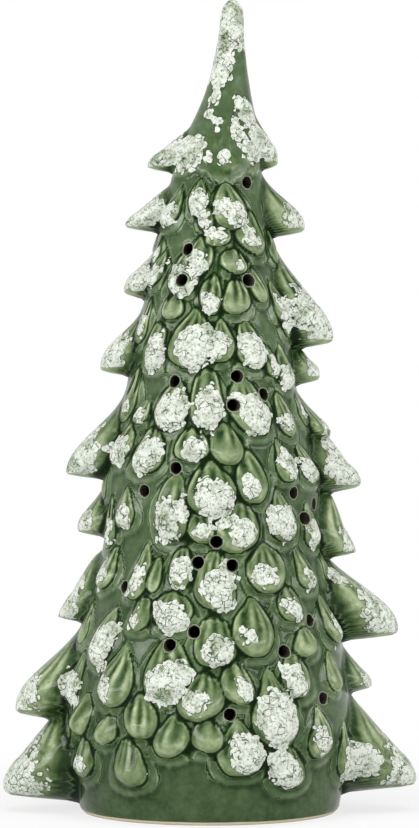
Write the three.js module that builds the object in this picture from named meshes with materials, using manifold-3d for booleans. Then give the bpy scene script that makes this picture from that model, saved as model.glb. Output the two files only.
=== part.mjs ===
// Lighted ceramic Christmas tree: a hollow stoneware tree with modelled drop-shaped boughs and small
// round light holes, standing on its own foot ring, with a battery light unit bonded up into the foot.
// Millimetres, +Z up. The origin is the centre of the foot on the table, and the front faces -Y.
// A bearing is in degrees round the tree from the front (-Y) towards +X.
import * as THREE from "three";
import { mergeVertices } from "three/addons/utils/BufferGeometryUtils.js";
import Module from "manifold-3d";

const wasm = await Module();
wasm.setup();

// Stoneware body above the foot: [height, radius] of the bare cone between the boughs, up to the spire.
const CONE_PROFILE = [
  [38, 56], [66, 52], [90, 46.5], [106, 42], [130, 42], [165, 33.5], [195, 28.5], [226, 22], [264, 14.6],
  [274, 11.2], [281, 9], [290, 7], [303, 5], [312, 4.6], [315.5, 3.6], [317.4, 1.9],
];
const TIP_HEIGHT = 318;
// The casting leans a little towards +X, its soft spire most: [height, sideways shift].
const TREE_LEAN = [[60, 0], [108, 1.2], [168, 1], [226, 2], [250, 3], [266, 5.4], [282, 7.4], [318, 9.2]];
const WALL = 4.5;
const HOLLOW_TOP = 262;
const FOOT_RING_WIDTH = 6;
const FOOT_ROUND = 1.5;
const FOOT_HEIGHT = 13;
const FOOT_FLARE = 3.4;
const BODY_SIDES = 24;
const HOLLOW_SIDES = 16;

// Boughs on the front, row by row up the tree: [bearing, height of lower end, width, length].
const FRONT_BOUGHS = [
  [-62, 15, 17, 20], [-34, 14, 19, 22], [-15, 26, 16, 20], [-1, 28, 16, 17], [12, 19, 23, 24],
  [33, 13, 20, 21], [49, 24, 16, 22], [71, 14, 17, 24],
  [-61, 32, 17, 18], [-45, 29, 13, 15], [-28, 33, 19, 20], [-3, 40, 20, 22], [27, 29, 23, 33],
  [-70, 43, 15, 22], [-41, 44, 20, 26], [-18, 48, 22, 26], [11, 46, 17, 20], [38, 48, 16, 21],
  [61, 48, 12, 18],
  [-52, 59, 18, 25], [-33, 73, 11, 18], [-17, 74, 20, 18], [2, 60, 20, 23], [19, 64, 19, 25],
  [44, 63, 14, 14], [66, 67, 17, 20],
  [-37, 85, 12, 24], [-28, 88, 9, 15], [38, 77, 15, 17], [-62, 88, 15, 20],
  [-15, 90, 13, 19], [2, 81, 20, 27], [27, 88, 19, 22], [51, 88, 14, 19],
  [-52, 112, 13, 18], [-21, 107, 18, 28], [-5, 107, 15, 16], [13, 103, 21, 23], [38, 107, 17, 23],
  [62, 104, 15, 19],
  [-1, 117, 22, 25], [21, 122, 17, 24], [-38, 133, 17, 22], [42, 130, 12, 19], [62, 129, 15, 17],
  [-61, 136, 15, 20],
  [-12, 138, 17, 16], [8, 137, 17, 19], [-49, 152, 11, 11], [24, 148, 21, 24], [50, 147, 13, 19],
  [-26, 150, 17, 22], [-4, 151, 17, 27], [58, 165, 13, 20],
  [-44, 173, 14, 22], [-15, 173, 21, 27], [5, 176, 13, 20], [27, 173, 16, 21], [43, 170, 10, 16],
  [-33, 192, 13, 13], [-1, 194, 11, 20], [18, 194, 13, 18], [38, 199, 11, 16], [62, 191, 13, 18],
  [-27, 202, 15, 20], [-11, 210, 14, 17], [19, 210, 13, 12], [-58, 205, 12, 16],
  [38, 217, 18, 21], [4, 221, 12, 11], [-20, 232, 11, 16], [-8, 227, 9, 12], [-55, 228, 12, 17],
  [14, 227, 18, 21], [11, 248, 13, 19], [-16, 251, 10, 15], [44, 251, 12, 17], [-50, 250, 11, 15],
];
// How far a bough of the front or back stands out: a fixed lift and a share of its width.
const BOUGH_LIFT = 2.6;
const BOUGH_LIFT_SHARE = 0.2;
const BOUGH_CREST = 0.72;
// Boughs away from the front lean outwards: the most that one moves sideways for its height.
const BOUGH_LEAN = 0.22;

// Big limbs along the two mould seams: [height of tip, reach from the axis, width, length above the
// tip, length below it, fullness of its upper side from 0 for straight to 1.5 for swollen].
const LEFT_LIMBS = [
  [10, 81.3, 32, 36, 5.8, 0.25], [42, 75.9, 31, 34, 5.5, 1.2], [77.5, 59.5, 22, 25, 3.2, 0.6],
  [112, 52, 22, 18, 5, 0.8], [134.5, 56.3, 29, 32, 4, 0.5], [177, 42.3, 23, 21, 6, 0.1],
  [207, 33.5, 19, 14, 5.5, 0.2], [229, 33, 21, 20, 4.7, 0.5], [255, 23.6, 14, 12, 4.5, 0.8],
];
const RIGHT_LIMBS = [
  [12.5, 81.5, 31, 35, 3, 0.15], [51, 64, 19, 14, 4, 0.6], [73.8, 73.7, 30, 31, 5, 0.3],
  [103.5, 57.3, 23, 24, 3.8, 1], [130.5, 59.2, 25, 19, 5, 1.5], [149.5, 47.6, 17, 15, 3, 0.6],
  [173.5, 43.3, 15, 10, 6, 1], [188, 48.5, 26, 35, 5, 0.6], [231.5, 37, 21, 19, 6, 0.7],
  [257.5, 27, 14, 15, 6, 0.3],
];
// The rounded nose of a limb: its share of the reach, and of the length above the tip.
const NOSE_SHARE = 0.22;
const NOSE_RISE = 0.3;
// The back is modelled like the front, each bough moved by some degrees and millimetres.
const BACK_SHIFT = 3;
const BACK_TURN_RATE = 2.4;
const BACK_LIFT_RATE = 1.7;
const BROAD_BOUGH = 16;

// Light holes on the front: [bearing, height]. Those of the back are turned on, so that no light from
// behind shows through a pair of them.
const BACK_HOLE_TURN = 25;
const LIGHT_HOLES = [
  [41, 246], [-26, 220], [-25, 208], [30, 208], [-26, 169], [17, 171], [36, 164], [13, 160],
  [-20, 136], [-39, 127], [49, 126], [71, 121], [56, 116], [2, 108], [-7, 100], [10, 99],
  [-46, 90], [-7, 74], [51, 77], [33, 66], [-17, 69], [8, 43], [53, 47],
];
const LIGHT_HOLE_RADIUS = 2.3;
const LIGHT_HOLE_SIDES = 6;

// Light unit
const PART_GAP = 0.3;
const GROUND_CLEARANCE = 3.2;
const PLATE_CLEARANCE = 3.4;
const PLATE_LIP = 0.8;
const PLATE_THICKNESS = 2.4;
const SEAL_THICKNESS = 1.4;
const SEAL_WIDTH = 3.2;
const FLOOR_THICKNESS = 4.5;
const TUB_MARGIN = 1.4;
const TUB_WALL = 1.8;
const TUB_CLEARANCE = 1;
const WIRE_ROOM = 3.8;
const BAY_WALL = 1.5;
const LID_THICKNESS = 2;
const CELL_RADIUS = 5.25;
const CELL_BODY = 43.7;
const CELL_NUB = 0.8;
const CELL_NUB_RADIUS = 1.9;
const CELL_GAP = 0.4;
// The cells' nubs point to -X, +X and -X, so that the three lie in series.
const CELL_FACINGS = [-1, 1, -1];
const CELL_SIDE_GAP = 0.6;
const SPRING_LENGTH = 7.4;
const SPRING_WIRE = 0.7;
const SPRING_BASE_RADIUS = 3.6;
const SPRING_TIP_RADIUS = 2.4;
const SPRING_TURNS = 3;
const CONTACT_THICKNESS = 0.5;
const CONTACT_MARGIN = 4.4;
const TAIL_WIDTH = 3;
const TAIL_RISE = 1.4;
const DOOR_THICKNESS = 1.1;
const DOOR_LAP = 1.25;
const DOOR_PAD = 1;
const TONGUE_WIDTH = 6;
const TONGUE_SPREAD = 6;
const TONGUE_REACH = 2;
const TONGUE_THICKNESS = 0.9;
const CATCH_WIDTH = 8;
const CATCH_THICKNESS = 0.8;
const CATCH_SETBACK = 0.15;
const CATCH_HEIGHT = 4.2;
const NAIL_NOTCH_RADIUS = 6;
const NAIL_NOTCH_DEPTH = 1.2;
const SWITCH_ROOM = 5.5;
const SWITCH_LENGTH = 11.4;
const SWITCH_WIDTH = 6.4;
const SWITCH_HEIGHT = 5;
const SWITCH_PIN_SPREAD = 3.6;
const KNOB_SIZE = 3.2;
const KNOB_TRAVEL = 4;
const KNOB_PROUD = 1.2;
const KNOB_DEPTH = 1.8;
const BOSS_RADIUS = 2.8;
const BOSS_SINK = 0.5;
const LID_SCREW_BEARING = 58;
const SCREW_RADIUS = 0.9;
const SCREW_CLEARANCE = 0.35;
const SCREW_HEAD_RADIUS = 2.3;
const SCREW_HEAD_HEIGHT = 1.4;
const LID_SCREW_LENGTH = 12;
const BOARD_RADIUS = 14;
const BOARD_THICKNESS = 1.6;
const BOARD_STAND = 5;
const BOARD_SCREW_X = 9;
const BOARD_SCREW_LENGTH = 5;
const LED_CIRCLE = 8;
const LED_BEARINGS = [180, -40, 40];
const LED_RADIUS = 2.5;
const LED_FLANGE_RADIUS = 2.9;
const LED_FLANGE = 1;
const LED_BARREL = 5.3;
const LED_LEG = 0.6;
const LED_LEG_PITCH = 2.54;
const LED_STAND = 1.5;
const RESISTOR_LENGTH = 5;
const RESISTOR_RADIUS = 1.1;
const RESISTOR_SPAN = 8.6;
const RESISTOR_STAND = 2;
const WIRE_RADIUS = 0.65;
const WIRE_LIFT = 0.15;
const WIRE_PAIR_SPREAD = 1.15;
const WIRE_HOLE_RADIUS = 2.6;
const WIRE_HOLE_MARGIN = 1.15;
const BOARD_PAD_SPREAD = 4;
const BOARD_PAD_INSET = 2.8;

// Levels and sizes that the pieces share
const cellPitch = 2 * CELL_RADIUS + CELL_GAP;
const screwBore = SCREW_RADIUS + SCREW_CLEARANCE;
const plateTop = GROUND_CLEARANCE + PLATE_THICKNESS;
const floorLow = plateTop + SEAL_THICKNESS;
const floorTop = floorLow + FLOOR_THICKNESS;
const doorInside = GROUND_CLEARANCE + DOOR_THICKNESS + DOOR_PAD;
const cellAxis = doorInside + PART_GAP + CELL_RADIUS;
const bayCeiling = cellAxis + CELL_RADIUS + CELL_SIDE_GAP;
const bayRoof = bayCeiling + BAY_WALL;
const bayHalfLength = (CELL_BODY + CELL_NUB + SPRING_LENGTH + 2 * CONTACT_THICKNESS + 2 * PART_GAP) / 2;
const bayHalfWidth = cellPitch + CELL_RADIUS + CELL_SIDE_GAP;
const catchInside = bayHalfLength + BAY_WALL + PART_GAP;
const doorHalfLength = catchInside + CATCH_THICKNESS + CATCH_SETBACK;
const doorHalfWidth = bayHalfWidth + DOOR_LAP;
const hingeReach = doorHalfLength + PART_GAP;
const switchOffset = bayHalfWidth + BAY_WALL + SWITCH_ROOM + SWITCH_WIDTH / 2;
const knobRoom = KNOB_TRAVEL / 2 + KNOB_SIZE / 2 + PART_GAP;
const tailFace = bayHalfLength - CONTACT_THICKNESS;
const tubRadius = Math.hypot(bayHalfLength + BAY_WALL, bayHalfWidth + BAY_WALL) + TUB_MARGIN;
const tubTop = bayRoof + WIRE_ROOM;
const lidTop = tubTop + LID_THICKNESS;
const boardLow = lidTop + BOARD_STAND;
const boardTop = boardLow + BOARD_THICKNESS;
const wireLevel = bayRoof + WIRE_LIFT + WIRE_RADIUS;
const switchTop = plateTop + SWITCH_HEIGHT;
const wireHoleY = -(bayHalfWidth + BAY_WALL + WIRE_HOLE_RADIUS + WIRE_HOLE_MARGIN);
const sealRadius = tubRadius + TUB_CLEARANCE + SEAL_WIDTH;
const plateRadius = sealRadius + PLATE_LIP;
const footRecess = plateRadius + PLATE_CLEARANCE;
const footRadius = footRecess + FOOT_RING_WIDTH;
const bodyProfile = [
  [0, footRadius], [FOOT_ROUND, footRadius + FOOT_ROUND], [FOOT_HEIGHT, footRadius + FOOT_FLARE],
  ...CONE_PROFILE,
];

const degrees = (angle) => (angle * Math.PI) / 180;
// A place on a circle round the tree's axis, at a bearing from the front.
const onCircle = (radius, bearing) => {
  return [radius * Math.sin(degrees(bearing)), -radius * Math.cos(degrees(bearing))];
};
const lidScrewCircle = tubRadius - TUB_WALL - BOSS_RADIUS + BOSS_SINK;
const lidScrewPlaces = [90 + LID_SCREW_BEARING, LID_SCREW_BEARING - 90].map((b) => onCircle(lidScrewCircle, b));
const ledPlaces = LED_BEARINGS.map((bearing) => onCircle(LED_CIRCLE, bearing));

// The value at a height in a list of [height, value] pairs.
function along(pairs, height) {
  const above = pairs.findIndex(([h]) => h > height);
  if (above === 0) return pairs[0][1];
  if (above < 0) return pairs[pairs.length - 1][1];
  const [low, high] = [pairs[above - 1], pairs[above]];
  return low[1] + ((high[1] - low[1]) * (height - low[0])) / (high[0] - low[0]);
}
const bodyRadius = (height) => along(bodyProfile, height);
const treeLean = (height) => along(TREE_LEAN, height);

// A point at a bearing and height, a distance out from the bare cone.
function onTree(bearing, height, out) {
  const radius = bodyRadius(height) + out;
  return [
    treeLean(height) + radius * Math.sin(degrees(bearing)),
    -radius * Math.cos(degrees(bearing)),
    height,
  ];
}

// Solids: three.js geometry in, joined or cut, geometry out
function solid(geometry) {
  const bare = new THREE.BufferGeometry().setAttribute("position", geometry.getAttribute("position").clone());
  if (geometry.index) bare.setIndex(geometry.index.clone());
  const merged = mergeVertices(bare, 1e-4);
  return new wasm.Manifold(
    new wasm.Mesh({
      numProp: 3,
      vertProperties: new Float32Array(merged.attributes.position.array),
      triVerts: new Uint32Array(merged.index.array),
    }),
  );
}
const join = (...geometries) => geometries.map(solid).reduce((whole, next) => whole.add(next));
function geometryOf(made) {
  const mesh = made.getMesh();
  const geometry = new THREE.BufferGeometry();
  geometry.setAttribute("position", new THREE.BufferAttribute(new Float32Array(mesh.vertProperties), 3));
  geometry.setIndex(new THREE.BufferAttribute(new Uint32Array(mesh.triVerts), 1));
  geometry.computeVertexNormals();
  return geometry;
}

// Plain shapes, given by their lowest and highest corner or by centre, radius and heights
function block([x0, y0, z0], [x1, y1, z1]) {
  const box = new THREE.BoxGeometry(x1 - x0, y1 - y0, z1 - z0);
  return box.translate((x0 + x1) / 2, (y0 + y1) / 2, (z0 + z1) / 2);
}
function post(x, y, radius, low, high, sides = 16) {
  return new THREE.CylinderGeometry(radius, radius, high - low, sides)
    .rotateX(Math.PI / 2)
    .translate(x, y, (low + high) / 2);
}
// A revolved solid about Z from [radius, height] points that start and end on the axis.
function turned(points, sides) {
  return new THREE.LatheGeometry(points.map(([r, h]) => new THREE.Vector2(r, h)), sides).rotateX(Math.PI / 2);
}
// The same for a ring, whose profile closes on itself.
function ring(inner, outer, low, high, sides) {
  return turned([[inner, low], [outer, low], [outer, high], [inner, high], [inner, low]], sides);
}
// A closed skin over rings of points that all hold the same count, with a flat fan at each end.
function lofted(rings) {
  const count = rings[0].length;
  const points = rings.flat();
  const faces = [];
  for (let k = 0; k + 1 < rings.length; k++)
    for (let j = 0; j < count; j++) {
      const [a, b] = [k * count + j, k * count + ((j + 1) % count)];
      faces.push(a, b, a + count, b, b + count, a + count);
    }
  const last = (rings.length - 1) * count;
  for (let j = 1; j + 1 < count; j++) {
    faces.push(0, j + 1, j);
    faces.push(last, last + j, last + j + 1);
  }
  const geometry = new THREE.BufferGeometry();
  geometry.setAttribute("position", new THREE.Float32BufferAttribute(points.flat(), 3));
  geometry.setIndex(faces);
  return geometry;
}

// Stoneware tree

// A drop outline: pointed at the top, round at the foot. Half width from 0 to 1 at a share t down it.
const WIDEST = 0.64;
function dropOutline(t) {
  return t < WIDEST
    ? Math.sin((Math.PI / 2) * (t / WIDEST))
    : Math.sqrt(Math.max(0, 1 - ((t - WIDEST) / (1 - WIDEST)) ** 2));
}
// How far the drop stands out along its middle, from 0 at the point to 1 at its crest and down again.
const CREST_RISE = 0.85;
function dropCrest(t) {
  if (t < BOUGH_CREST) return (t / BOUGH_CREST) ** CREST_RISE;
  return Math.sqrt(1 - ((t - BOUGH_CREST) / (1 - BOUGH_CREST)) ** 2);
}

// One bough, laid on the cone: its rings run down from the point, and its root is sunk into the wall.
const ROOT_DEPTH = 3;
const EDGE_DEPTH = 1;
const LEAN_PIVOT = 0.7;
const LEAST_WIDTH = 0.04;
function bough({ bearing, top, width, length, reach, stations, facets, arching, lean, standAt }) {
  const bend = bodyRadius(top - length / 2) + reach / 2;
  const rings = stations.map((t) => {
    const height = top - length * t;
    const half = (width / 2) * Math.max(LEAST_WIDTH, dropOutline(t));
    const stand = standAt(t) + EDGE_DEPTH;
    const shift = lean * length * (LEAN_PIVOT - t);
    const at = (across, out) => onTree(bearing + ((across - shift) / bend) * (180 / Math.PI), height, out);
    const arch = [];
    for (let j = 0; j <= facets; j++) {
      const turn = -Math.PI / 2 + (Math.PI * j) / facets;
      const rise = Math.max(0, Math.cos(turn)) ** arching;
      arch.push(at(half * Math.sin(turn), stand * rise - EDGE_DEPTH));
    }
    return [...arch, at(half, -ROOT_DEPTH), at(-half, -ROOT_DEPTH)];
  });
  return lofted(rings.reverse());
}

// Shares down a bough at which its rings lie, and how many facets each ring has.
const FINE_STATIONS = [0.05, 0.4, 0.75, 0.95];
const PLAIN_STATIONS = [0.05, 0.7, 0.94];
const BROAD_FACETS = 3;
const NARROW_FACETS = 2;
const LIMB_FACETS = 4;
const FACE_ARCHING = 1.15;
const LIMB_ARCHING = 0.95;

function faceBough([bearing, low, width, length]) {
  const reach = BOUGH_LIFT + BOUGH_LIFT_SHARE * width;
  const broad = width >= BROAD_BOUGH;
  const facets = broad ? BROAD_FACETS : NARROW_FACETS;
  const stations = broad && Math.cos(degrees(bearing)) > 0 ? FINE_STATIONS : PLAIN_STATIONS;
  const lean = BOUGH_LEAN * Math.sin(degrees(bearing));
  const standAt = (t) => reach * dropCrest(t);
  const top = low + length;
  return bough({ bearing, top, width, length, reach, stations, facets, arching: FACE_ARCHING, lean, standAt });
}
// A limb's upper side runs out nearly straight to a rounded nose, and its lower side is almost flat.
const LIMB_STATIONS_ABOVE = [0.03, 0.4, 0.75, 0.92, 1];
const LIMB_STATIONS_BELOW = [0.6, 0.93];
function limb(bearing, [tip, reachFromAxis, width, above, below, fullness]) {
  const reach = reachFromAxis - bodyRadius(tip) - Math.sign(bearing) * treeLean(tip);
  const length = above + below;
  const tipShare = above / length;
  const standAt = (t) => {
    if (t > tipShare) {
      const down = (t - tipShare) / (1 - tipShare);
      return reach * (1 - down ** 3) ** 0.4;
    }
    const run = t / tipShare;
    const nose = Math.sqrt(1 - Math.min(1, (1 - run) / NOSE_RISE) ** 2);
    return reach * ((1 - NOSE_SHARE) * run ** (1 - fullness / 3) + NOSE_SHARE * nose);
  };
  const stations = [
    ...LIMB_STATIONS_ABOVE.map((share) => share * tipShare),
    ...LIMB_STATIONS_BELOW.map((share) => tipShare + share * (1 - tipShare)),
  ];
  const top = tip + above;
  const shape = { facets: LIMB_FACETS, arching: LIMB_ARCHING, lean: 0, standAt };
  return bough({ bearing, top, width, length, reach, stations, ...shape });
}
// The same place on the back, moved a little so that the two halves aren't mirror images.
function onBack([bearing, height, ...rest], index) {
  const turn = BACK_SHIFT * Math.sin(BACK_TURN_RATE * index);
  const lift = BACK_SHIFT * Math.sin(BACK_LIFT_RATE * index);
  return [180 - bearing + turn, height + lift, ...rest];
}
// A drill bit that leaves through the wall at a bearing and height.
function drill([bearing, height]) {
  const inside = bodyRadius(height) - 2 * WALL;
  const outside = bodyRadius(height) + 4 * WALL;
  return new THREE.CylinderGeometry(LIGHT_HOLE_RADIUS, LIGHT_HOLE_RADIUS, outside - inside, LIGHT_HOLE_SIDES)
    .translate(0, (inside + outside) / 2, 0)
    .rotateZ(Math.PI)
    .rotateZ(degrees(bearing))
    .translate(treeLean(height), 0, height);
}
// Shifts a revolved solid sideways by the tree's lean at each height.
function leaning(geometry) {
  const places = geometry.getAttribute("position");
  for (let i = 0; i < places.count; i++) places.setX(i, places.getX(i) + treeLean(places.getZ(i)));
  return geometry;
}

function treeShell() {
  const cone = turned([[0, 0], ...bodyProfile.map(([h, r]) => [r, h]), [0, TIP_HEIGHT]], BODY_SIDES);
  const boughs = [
    ...FRONT_BOUGHS.map(faceBough),
    ...FRONT_BOUGHS.map(onBack).map(faceBough),
    ...LEFT_LIMBS.map((row) => limb(-90, row)),
    ...RIGHT_LIMBS.map((row) => limb(90, row)),
  ];
  const inside = bodyProfile.filter(([height]) => height > floorTop + 1 && height < HOLLOW_TOP - 1);
  const hollow = turned(
    [[0, floorTop], [bodyRadius(floorTop) - WALL, floorTop],
      ...inside.map(([height, radius]) => [radius - WALL, height]),
      [bodyRadius(HOLLOW_TOP) - WALL, HOLLOW_TOP], [0, HOLLOW_TOP + WALL]],
    HOLLOW_SIDES,
  );
  const recess = post(0, 0, footRecess, -1, floorLow, BODY_SIDES);
  const floorHole = post(0, 0, tubRadius + TUB_CLEARANCE, floorLow - 1, floorTop + 1, BODY_SIDES);
  const backHoles = LIGHT_HOLES.map(onBack).map(([bearing, height]) => [bearing + BACK_HOLE_TURN, height]);
  const holes = [...LIGHT_HOLES, ...backHoles].map(drill);
  return join(leaning(cone), ...boughs).subtract(join(leaning(hollow), recess, floorHole, ...holes));
}

// Light unit: moulded housing with the battery bay, open below
function housing() {
  const plate = post(0, 0, plateRadius, GROUND_CLEARANCE, plateTop, BODY_SIDES);
  const tub = ring(tubRadius - TUB_WALL, tubRadius, plateTop - TUB_WALL, tubTop, BODY_SIDES);
  const bayOutside = block(
    [-bayHalfLength - BAY_WALL, -bayHalfWidth - BAY_WALL, plateTop - 1],
    [bayHalfLength + BAY_WALL, bayHalfWidth + BAY_WALL, bayRoof],
  );
  const bosses = lidScrewPlaces.map(([x, y]) => post(x, y, BOSS_RADIUS, plateTop - 1, tubTop, 12));
  const rebate = block(
    [-doorHalfLength - PART_GAP, -doorHalfWidth - PART_GAP, GROUND_CLEARANCE - 1],
    [doorHalfLength + PART_GAP, doorHalfWidth + PART_GAP, GROUND_CLEARANCE + DOOR_THICKNESS + PART_GAP],
  );
  const bay = block(
    [-bayHalfLength, -bayHalfWidth, GROUND_CLEARANCE - 1],
    [bayHalfLength, bayHalfWidth, bayCeiling],
  );
  const tongueSlots = [-TONGUE_SPREAD, TONGUE_SPREAD].map((y) => {
    const halfWidth = TONGUE_WIDTH / 2 + PART_GAP;
    const deepest = -hingeReach - TONGUE_REACH - 2 * PART_GAP;
    return block(
      [deepest, y - halfWidth, GROUND_CLEARANCE + DOOR_THICKNESS - PART_GAP],
      [-bayHalfLength + PART_GAP, y + halfWidth, plateTop],
    );
  });
  const catchSlot = block(
    [bayHalfLength + BAY_WALL, -CATCH_WIDTH / 2 - PART_GAP, GROUND_CLEARANCE],
    [doorHalfLength + PART_GAP, CATCH_WIDTH / 2 + PART_GAP, plateTop],
  );
  const notchTop = GROUND_CLEARANCE + NAIL_NOTCH_DEPTH;
  const nailNotch = post(doorHalfLength, 0, NAIL_NOTCH_RADIUS, GROUND_CLEARANCE - 1, notchTop);
  const knobSlot = block(
    [-knobRoom, switchOffset - KNOB_SIZE / 2 - PART_GAP, GROUND_CLEARANCE - 1],
    [knobRoom, switchOffset + KNOB_SIZE / 2 + PART_GAP, plateTop + 1],
  );
  const screwBores = lidScrewPlaces.map(([x, y]) =>
    post(x, y, screwBore, lidTop - LID_SCREW_LENGTH - PART_GAP, tubTop + 1, 10),
  );
  const tailSlots = [-1, 1].map((side) => {
    const ends = [side * bayHalfLength, side * (tailFace - PART_GAP)];
    const y = side * cellPitch;
    const halfWidth = TAIL_WIDTH / 2 + PART_GAP;
    return block(
      [Math.min(...ends), y - halfWidth, bayCeiling - 1],
      [Math.max(...ends), y + halfWidth, bayRoof + 1],
    );
  });
  return join(plate, tub, bayOutside, ...bosses).subtract(
    join(rebate, bay, ...tongueSlots, catchSlot, nailNotch, knobSlot, ...screwBores, ...tailSlots),
  );
}

// Foam ring with adhesive on both faces, between the plate and the stoneware floor
function sealRing() {
  return solid(ring(sealRadius - SEAL_WIDTH, sealRadius, plateTop, floorLow, BODY_SIDES));
}

// Snap-in door: it hooks on two tongues at the -X end and swings down about the plate's edge there
function batteryDoor() {
  const panel = block(
    [-doorHalfLength, -doorHalfWidth, GROUND_CLEARANCE],
    [doorHalfLength, doorHalfWidth, GROUND_CLEARANCE + DOOR_THICKNESS],
  );
  const pad = block(
    [-bayHalfLength + PART_GAP, -bayHalfWidth + PART_GAP, GROUND_CLEARANCE],
    [bayHalfLength - PART_GAP, bayHalfWidth - PART_GAP, doorInside],
  );
  const tongueLow = GROUND_CLEARANCE + DOOR_THICKNESS;
  const tongues = [-TONGUE_SPREAD, TONGUE_SPREAD].map((y) =>
    block(
      [-hingeReach - TONGUE_REACH, y - TONGUE_WIDTH / 2, tongueLow],
      [-bayHalfLength + 2 * PART_GAP, y + TONGUE_WIDTH / 2, tongueLow + TONGUE_THICKNESS],
    ),
  );
  const catchRib = block(
    [catchInside, -CATCH_WIDTH / 2, GROUND_CLEARANCE],
    [catchInside + CATCH_THICKNESS, CATCH_WIDTH / 2, GROUND_CLEARANCE + DOOR_THICKNESS + CATCH_HEIGHT],
  );
  return join(panel, pad, ...tongues, catchRib);
}

// A cylindrical cell along X, its nub at the +X end when facing is 1
function cell(facing) {
  const body = new THREE.CylinderGeometry(CELL_RADIUS, CELL_RADIUS, CELL_BODY, 18).rotateZ(Math.PI / 2);
  const nub = new THREE.CylinderGeometry(CELL_NUB_RADIUS, CELL_NUB_RADIUS, 2 * CELL_NUB, 10)
    .rotateZ(Math.PI / 2)
    .translate((facing * CELL_BODY) / 2, 0, 0);
  return join(body, nub);
}
const cellCentre = (facing) => facing * (tailFace - PART_GAP - CELL_NUB - CELL_BODY / 2);

// A conical contact spring: one unbroken wire that winds from its plate towards a cell
const SPRING_STEPS = 8;
const SPRING_WIRE_SIDES = 5;
const SPRING_SEAT = SPRING_WIRE / 4;
function springLine(share) {
  const turn = share * SPRING_TURNS * 2 * Math.PI;
  const radius = SPRING_BASE_RADIUS + (SPRING_TIP_RADIUS - SPRING_BASE_RADIUS) * share;
  return { turn, radius, run: SPRING_SEAT + (SPRING_LENGTH - SPRING_WIRE) * share };
}
function spring(plateX, direction, y) {
  const steps = SPRING_TURNS * SPRING_STEPS;
  const rings = [];
  for (let i = 0; i <= steps; i++) {
    const { turn, radius, run } = springLine(i / steps);
    const section = [];
    for (let k = 0; k < SPRING_WIRE_SIDES; k++) {
      const angle = (-k * 2 * Math.PI) / SPRING_WIRE_SIDES;
      const reach = radius + (SPRING_WIRE / 2) * Math.cos(angle);
      const x = plateX + direction * run + (SPRING_WIRE / 2) * Math.sin(angle);
      section.push([x, y + reach * Math.cos(turn), cellAxis + reach * Math.sin(turn)]);
    }
    rings.push(section);
  }
  return lofted(rings);
}
// The least gap between one turn of the spring and the next, measured on points along its wire
function springGap() {
  const steps = SPRING_TURNS * SPRING_STEPS;
  const points = Array.from({ length: steps + 1 }, (_, i) => {
    const { turn, radius, run } = springLine(i / steps);
    return new THREE.Vector3(run, radius * Math.cos(turn), radius * Math.sin(turn));
  });
  let least = Infinity;
  points.forEach((point, i) => {
    for (const other of points.slice(i + SPRING_STEPS / 2)) least = Math.min(least, point.distanceTo(other));
  });
  return least - SPRING_WIRE;
}
console.log(`contact spring: its turns stand ${springGap().toFixed(2)} mm or more apart`);

// A steel contact plate on the bay's end wall at side -1 or 1. It reaches across the cells whose
// rows it's given, and it may carry a spring for one of them and a solder tail above one.
function contact({ side, rows, sprung, tail }) {
  const ends = [side * bayHalfLength, side * tailFace];
  const [x0, x1] = [Math.min(...ends), Math.max(...ends)];
  const low = [x0, Math.min(...rows) * cellPitch - CONTACT_MARGIN, cellAxis - CONTACT_MARGIN];
  const high = [x1, Math.max(...rows) * cellPitch + CONTACT_MARGIN, cellAxis + CONTACT_MARGIN];
  const pieces = [block(low, high)];
  if (tail !== undefined) {
    const y = tail * cellPitch;
    pieces.push(block([x0, y - TAIL_WIDTH / 2, cellAxis], [x1, y + TAIL_WIDTH / 2, bayRoof + TAIL_RISE]));
  }
  if (sprung !== undefined) pieces.push(spring(side * tailFace, -side, sprung * cellPitch));
  return join(...pieces);
}

// Slide switch: metal-cased body on the plate, and the knob that stands down through the plate
function switchBody() {
  const body = block(
    [-SWITCH_LENGTH / 2, switchOffset - SWITCH_WIDTH / 2, plateTop],
    [SWITCH_LENGTH / 2, switchOffset + SWITCH_WIDTH / 2, switchTop],
  );
  const pocket = block(
    [-knobRoom, switchOffset - KNOB_SIZE / 2 - PART_GAP, plateTop - 1],
    [knobRoom, switchOffset + KNOB_SIZE / 2 + PART_GAP, plateTop + KNOB_DEPTH + PART_GAP],
  );
  return solid(body).subtract(solid(pocket));
}
function switchKnob() {
  const half = KNOB_SIZE / 2;
  return solid(block([-half, -half, GROUND_CLEARANCE - KNOB_PROUD], [half, half, plateTop + KNOB_DEPTH]));
}

// Lid of the tub: it carries the circuit board on two bosses and lets the wires through
function housingLid() {
  const disc = post(0, 0, tubRadius, tubTop, lidTop, BODY_SIDES);
  const stands = [-BOARD_SCREW_X, BOARD_SCREW_X].map((x) => post(x, 0, BOSS_RADIUS, tubTop, boardLow, 12));
  const cuts = [
    ...lidScrewPlaces.map(([x, y]) => post(x, y, screwBore, tubTop - 1, lidTop + 1, 10)),
    ...[-BOARD_SCREW_X, BOARD_SCREW_X].map((x) => post(x, 0, screwBore, tubTop - 1, boardLow + 1, 10)),
    post(0, wireHoleY, WIRE_HOLE_RADIUS, tubTop - 1, lidTop + 1, 12),
  ];
  return join(disc, ...stands).subtract(join(...cuts));
}
function circuitBoard() {
  const disc = post(0, 0, BOARD_RADIUS, boardLow, boardTop, 32);
  const holes = [-BOARD_SCREW_X, BOARD_SCREW_X].map((x) =>
    post(x, 0, screwBore, boardLow - 1, boardTop + 1, 10),
  );
  return solid(disc).subtract(join(...holes));
}
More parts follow.
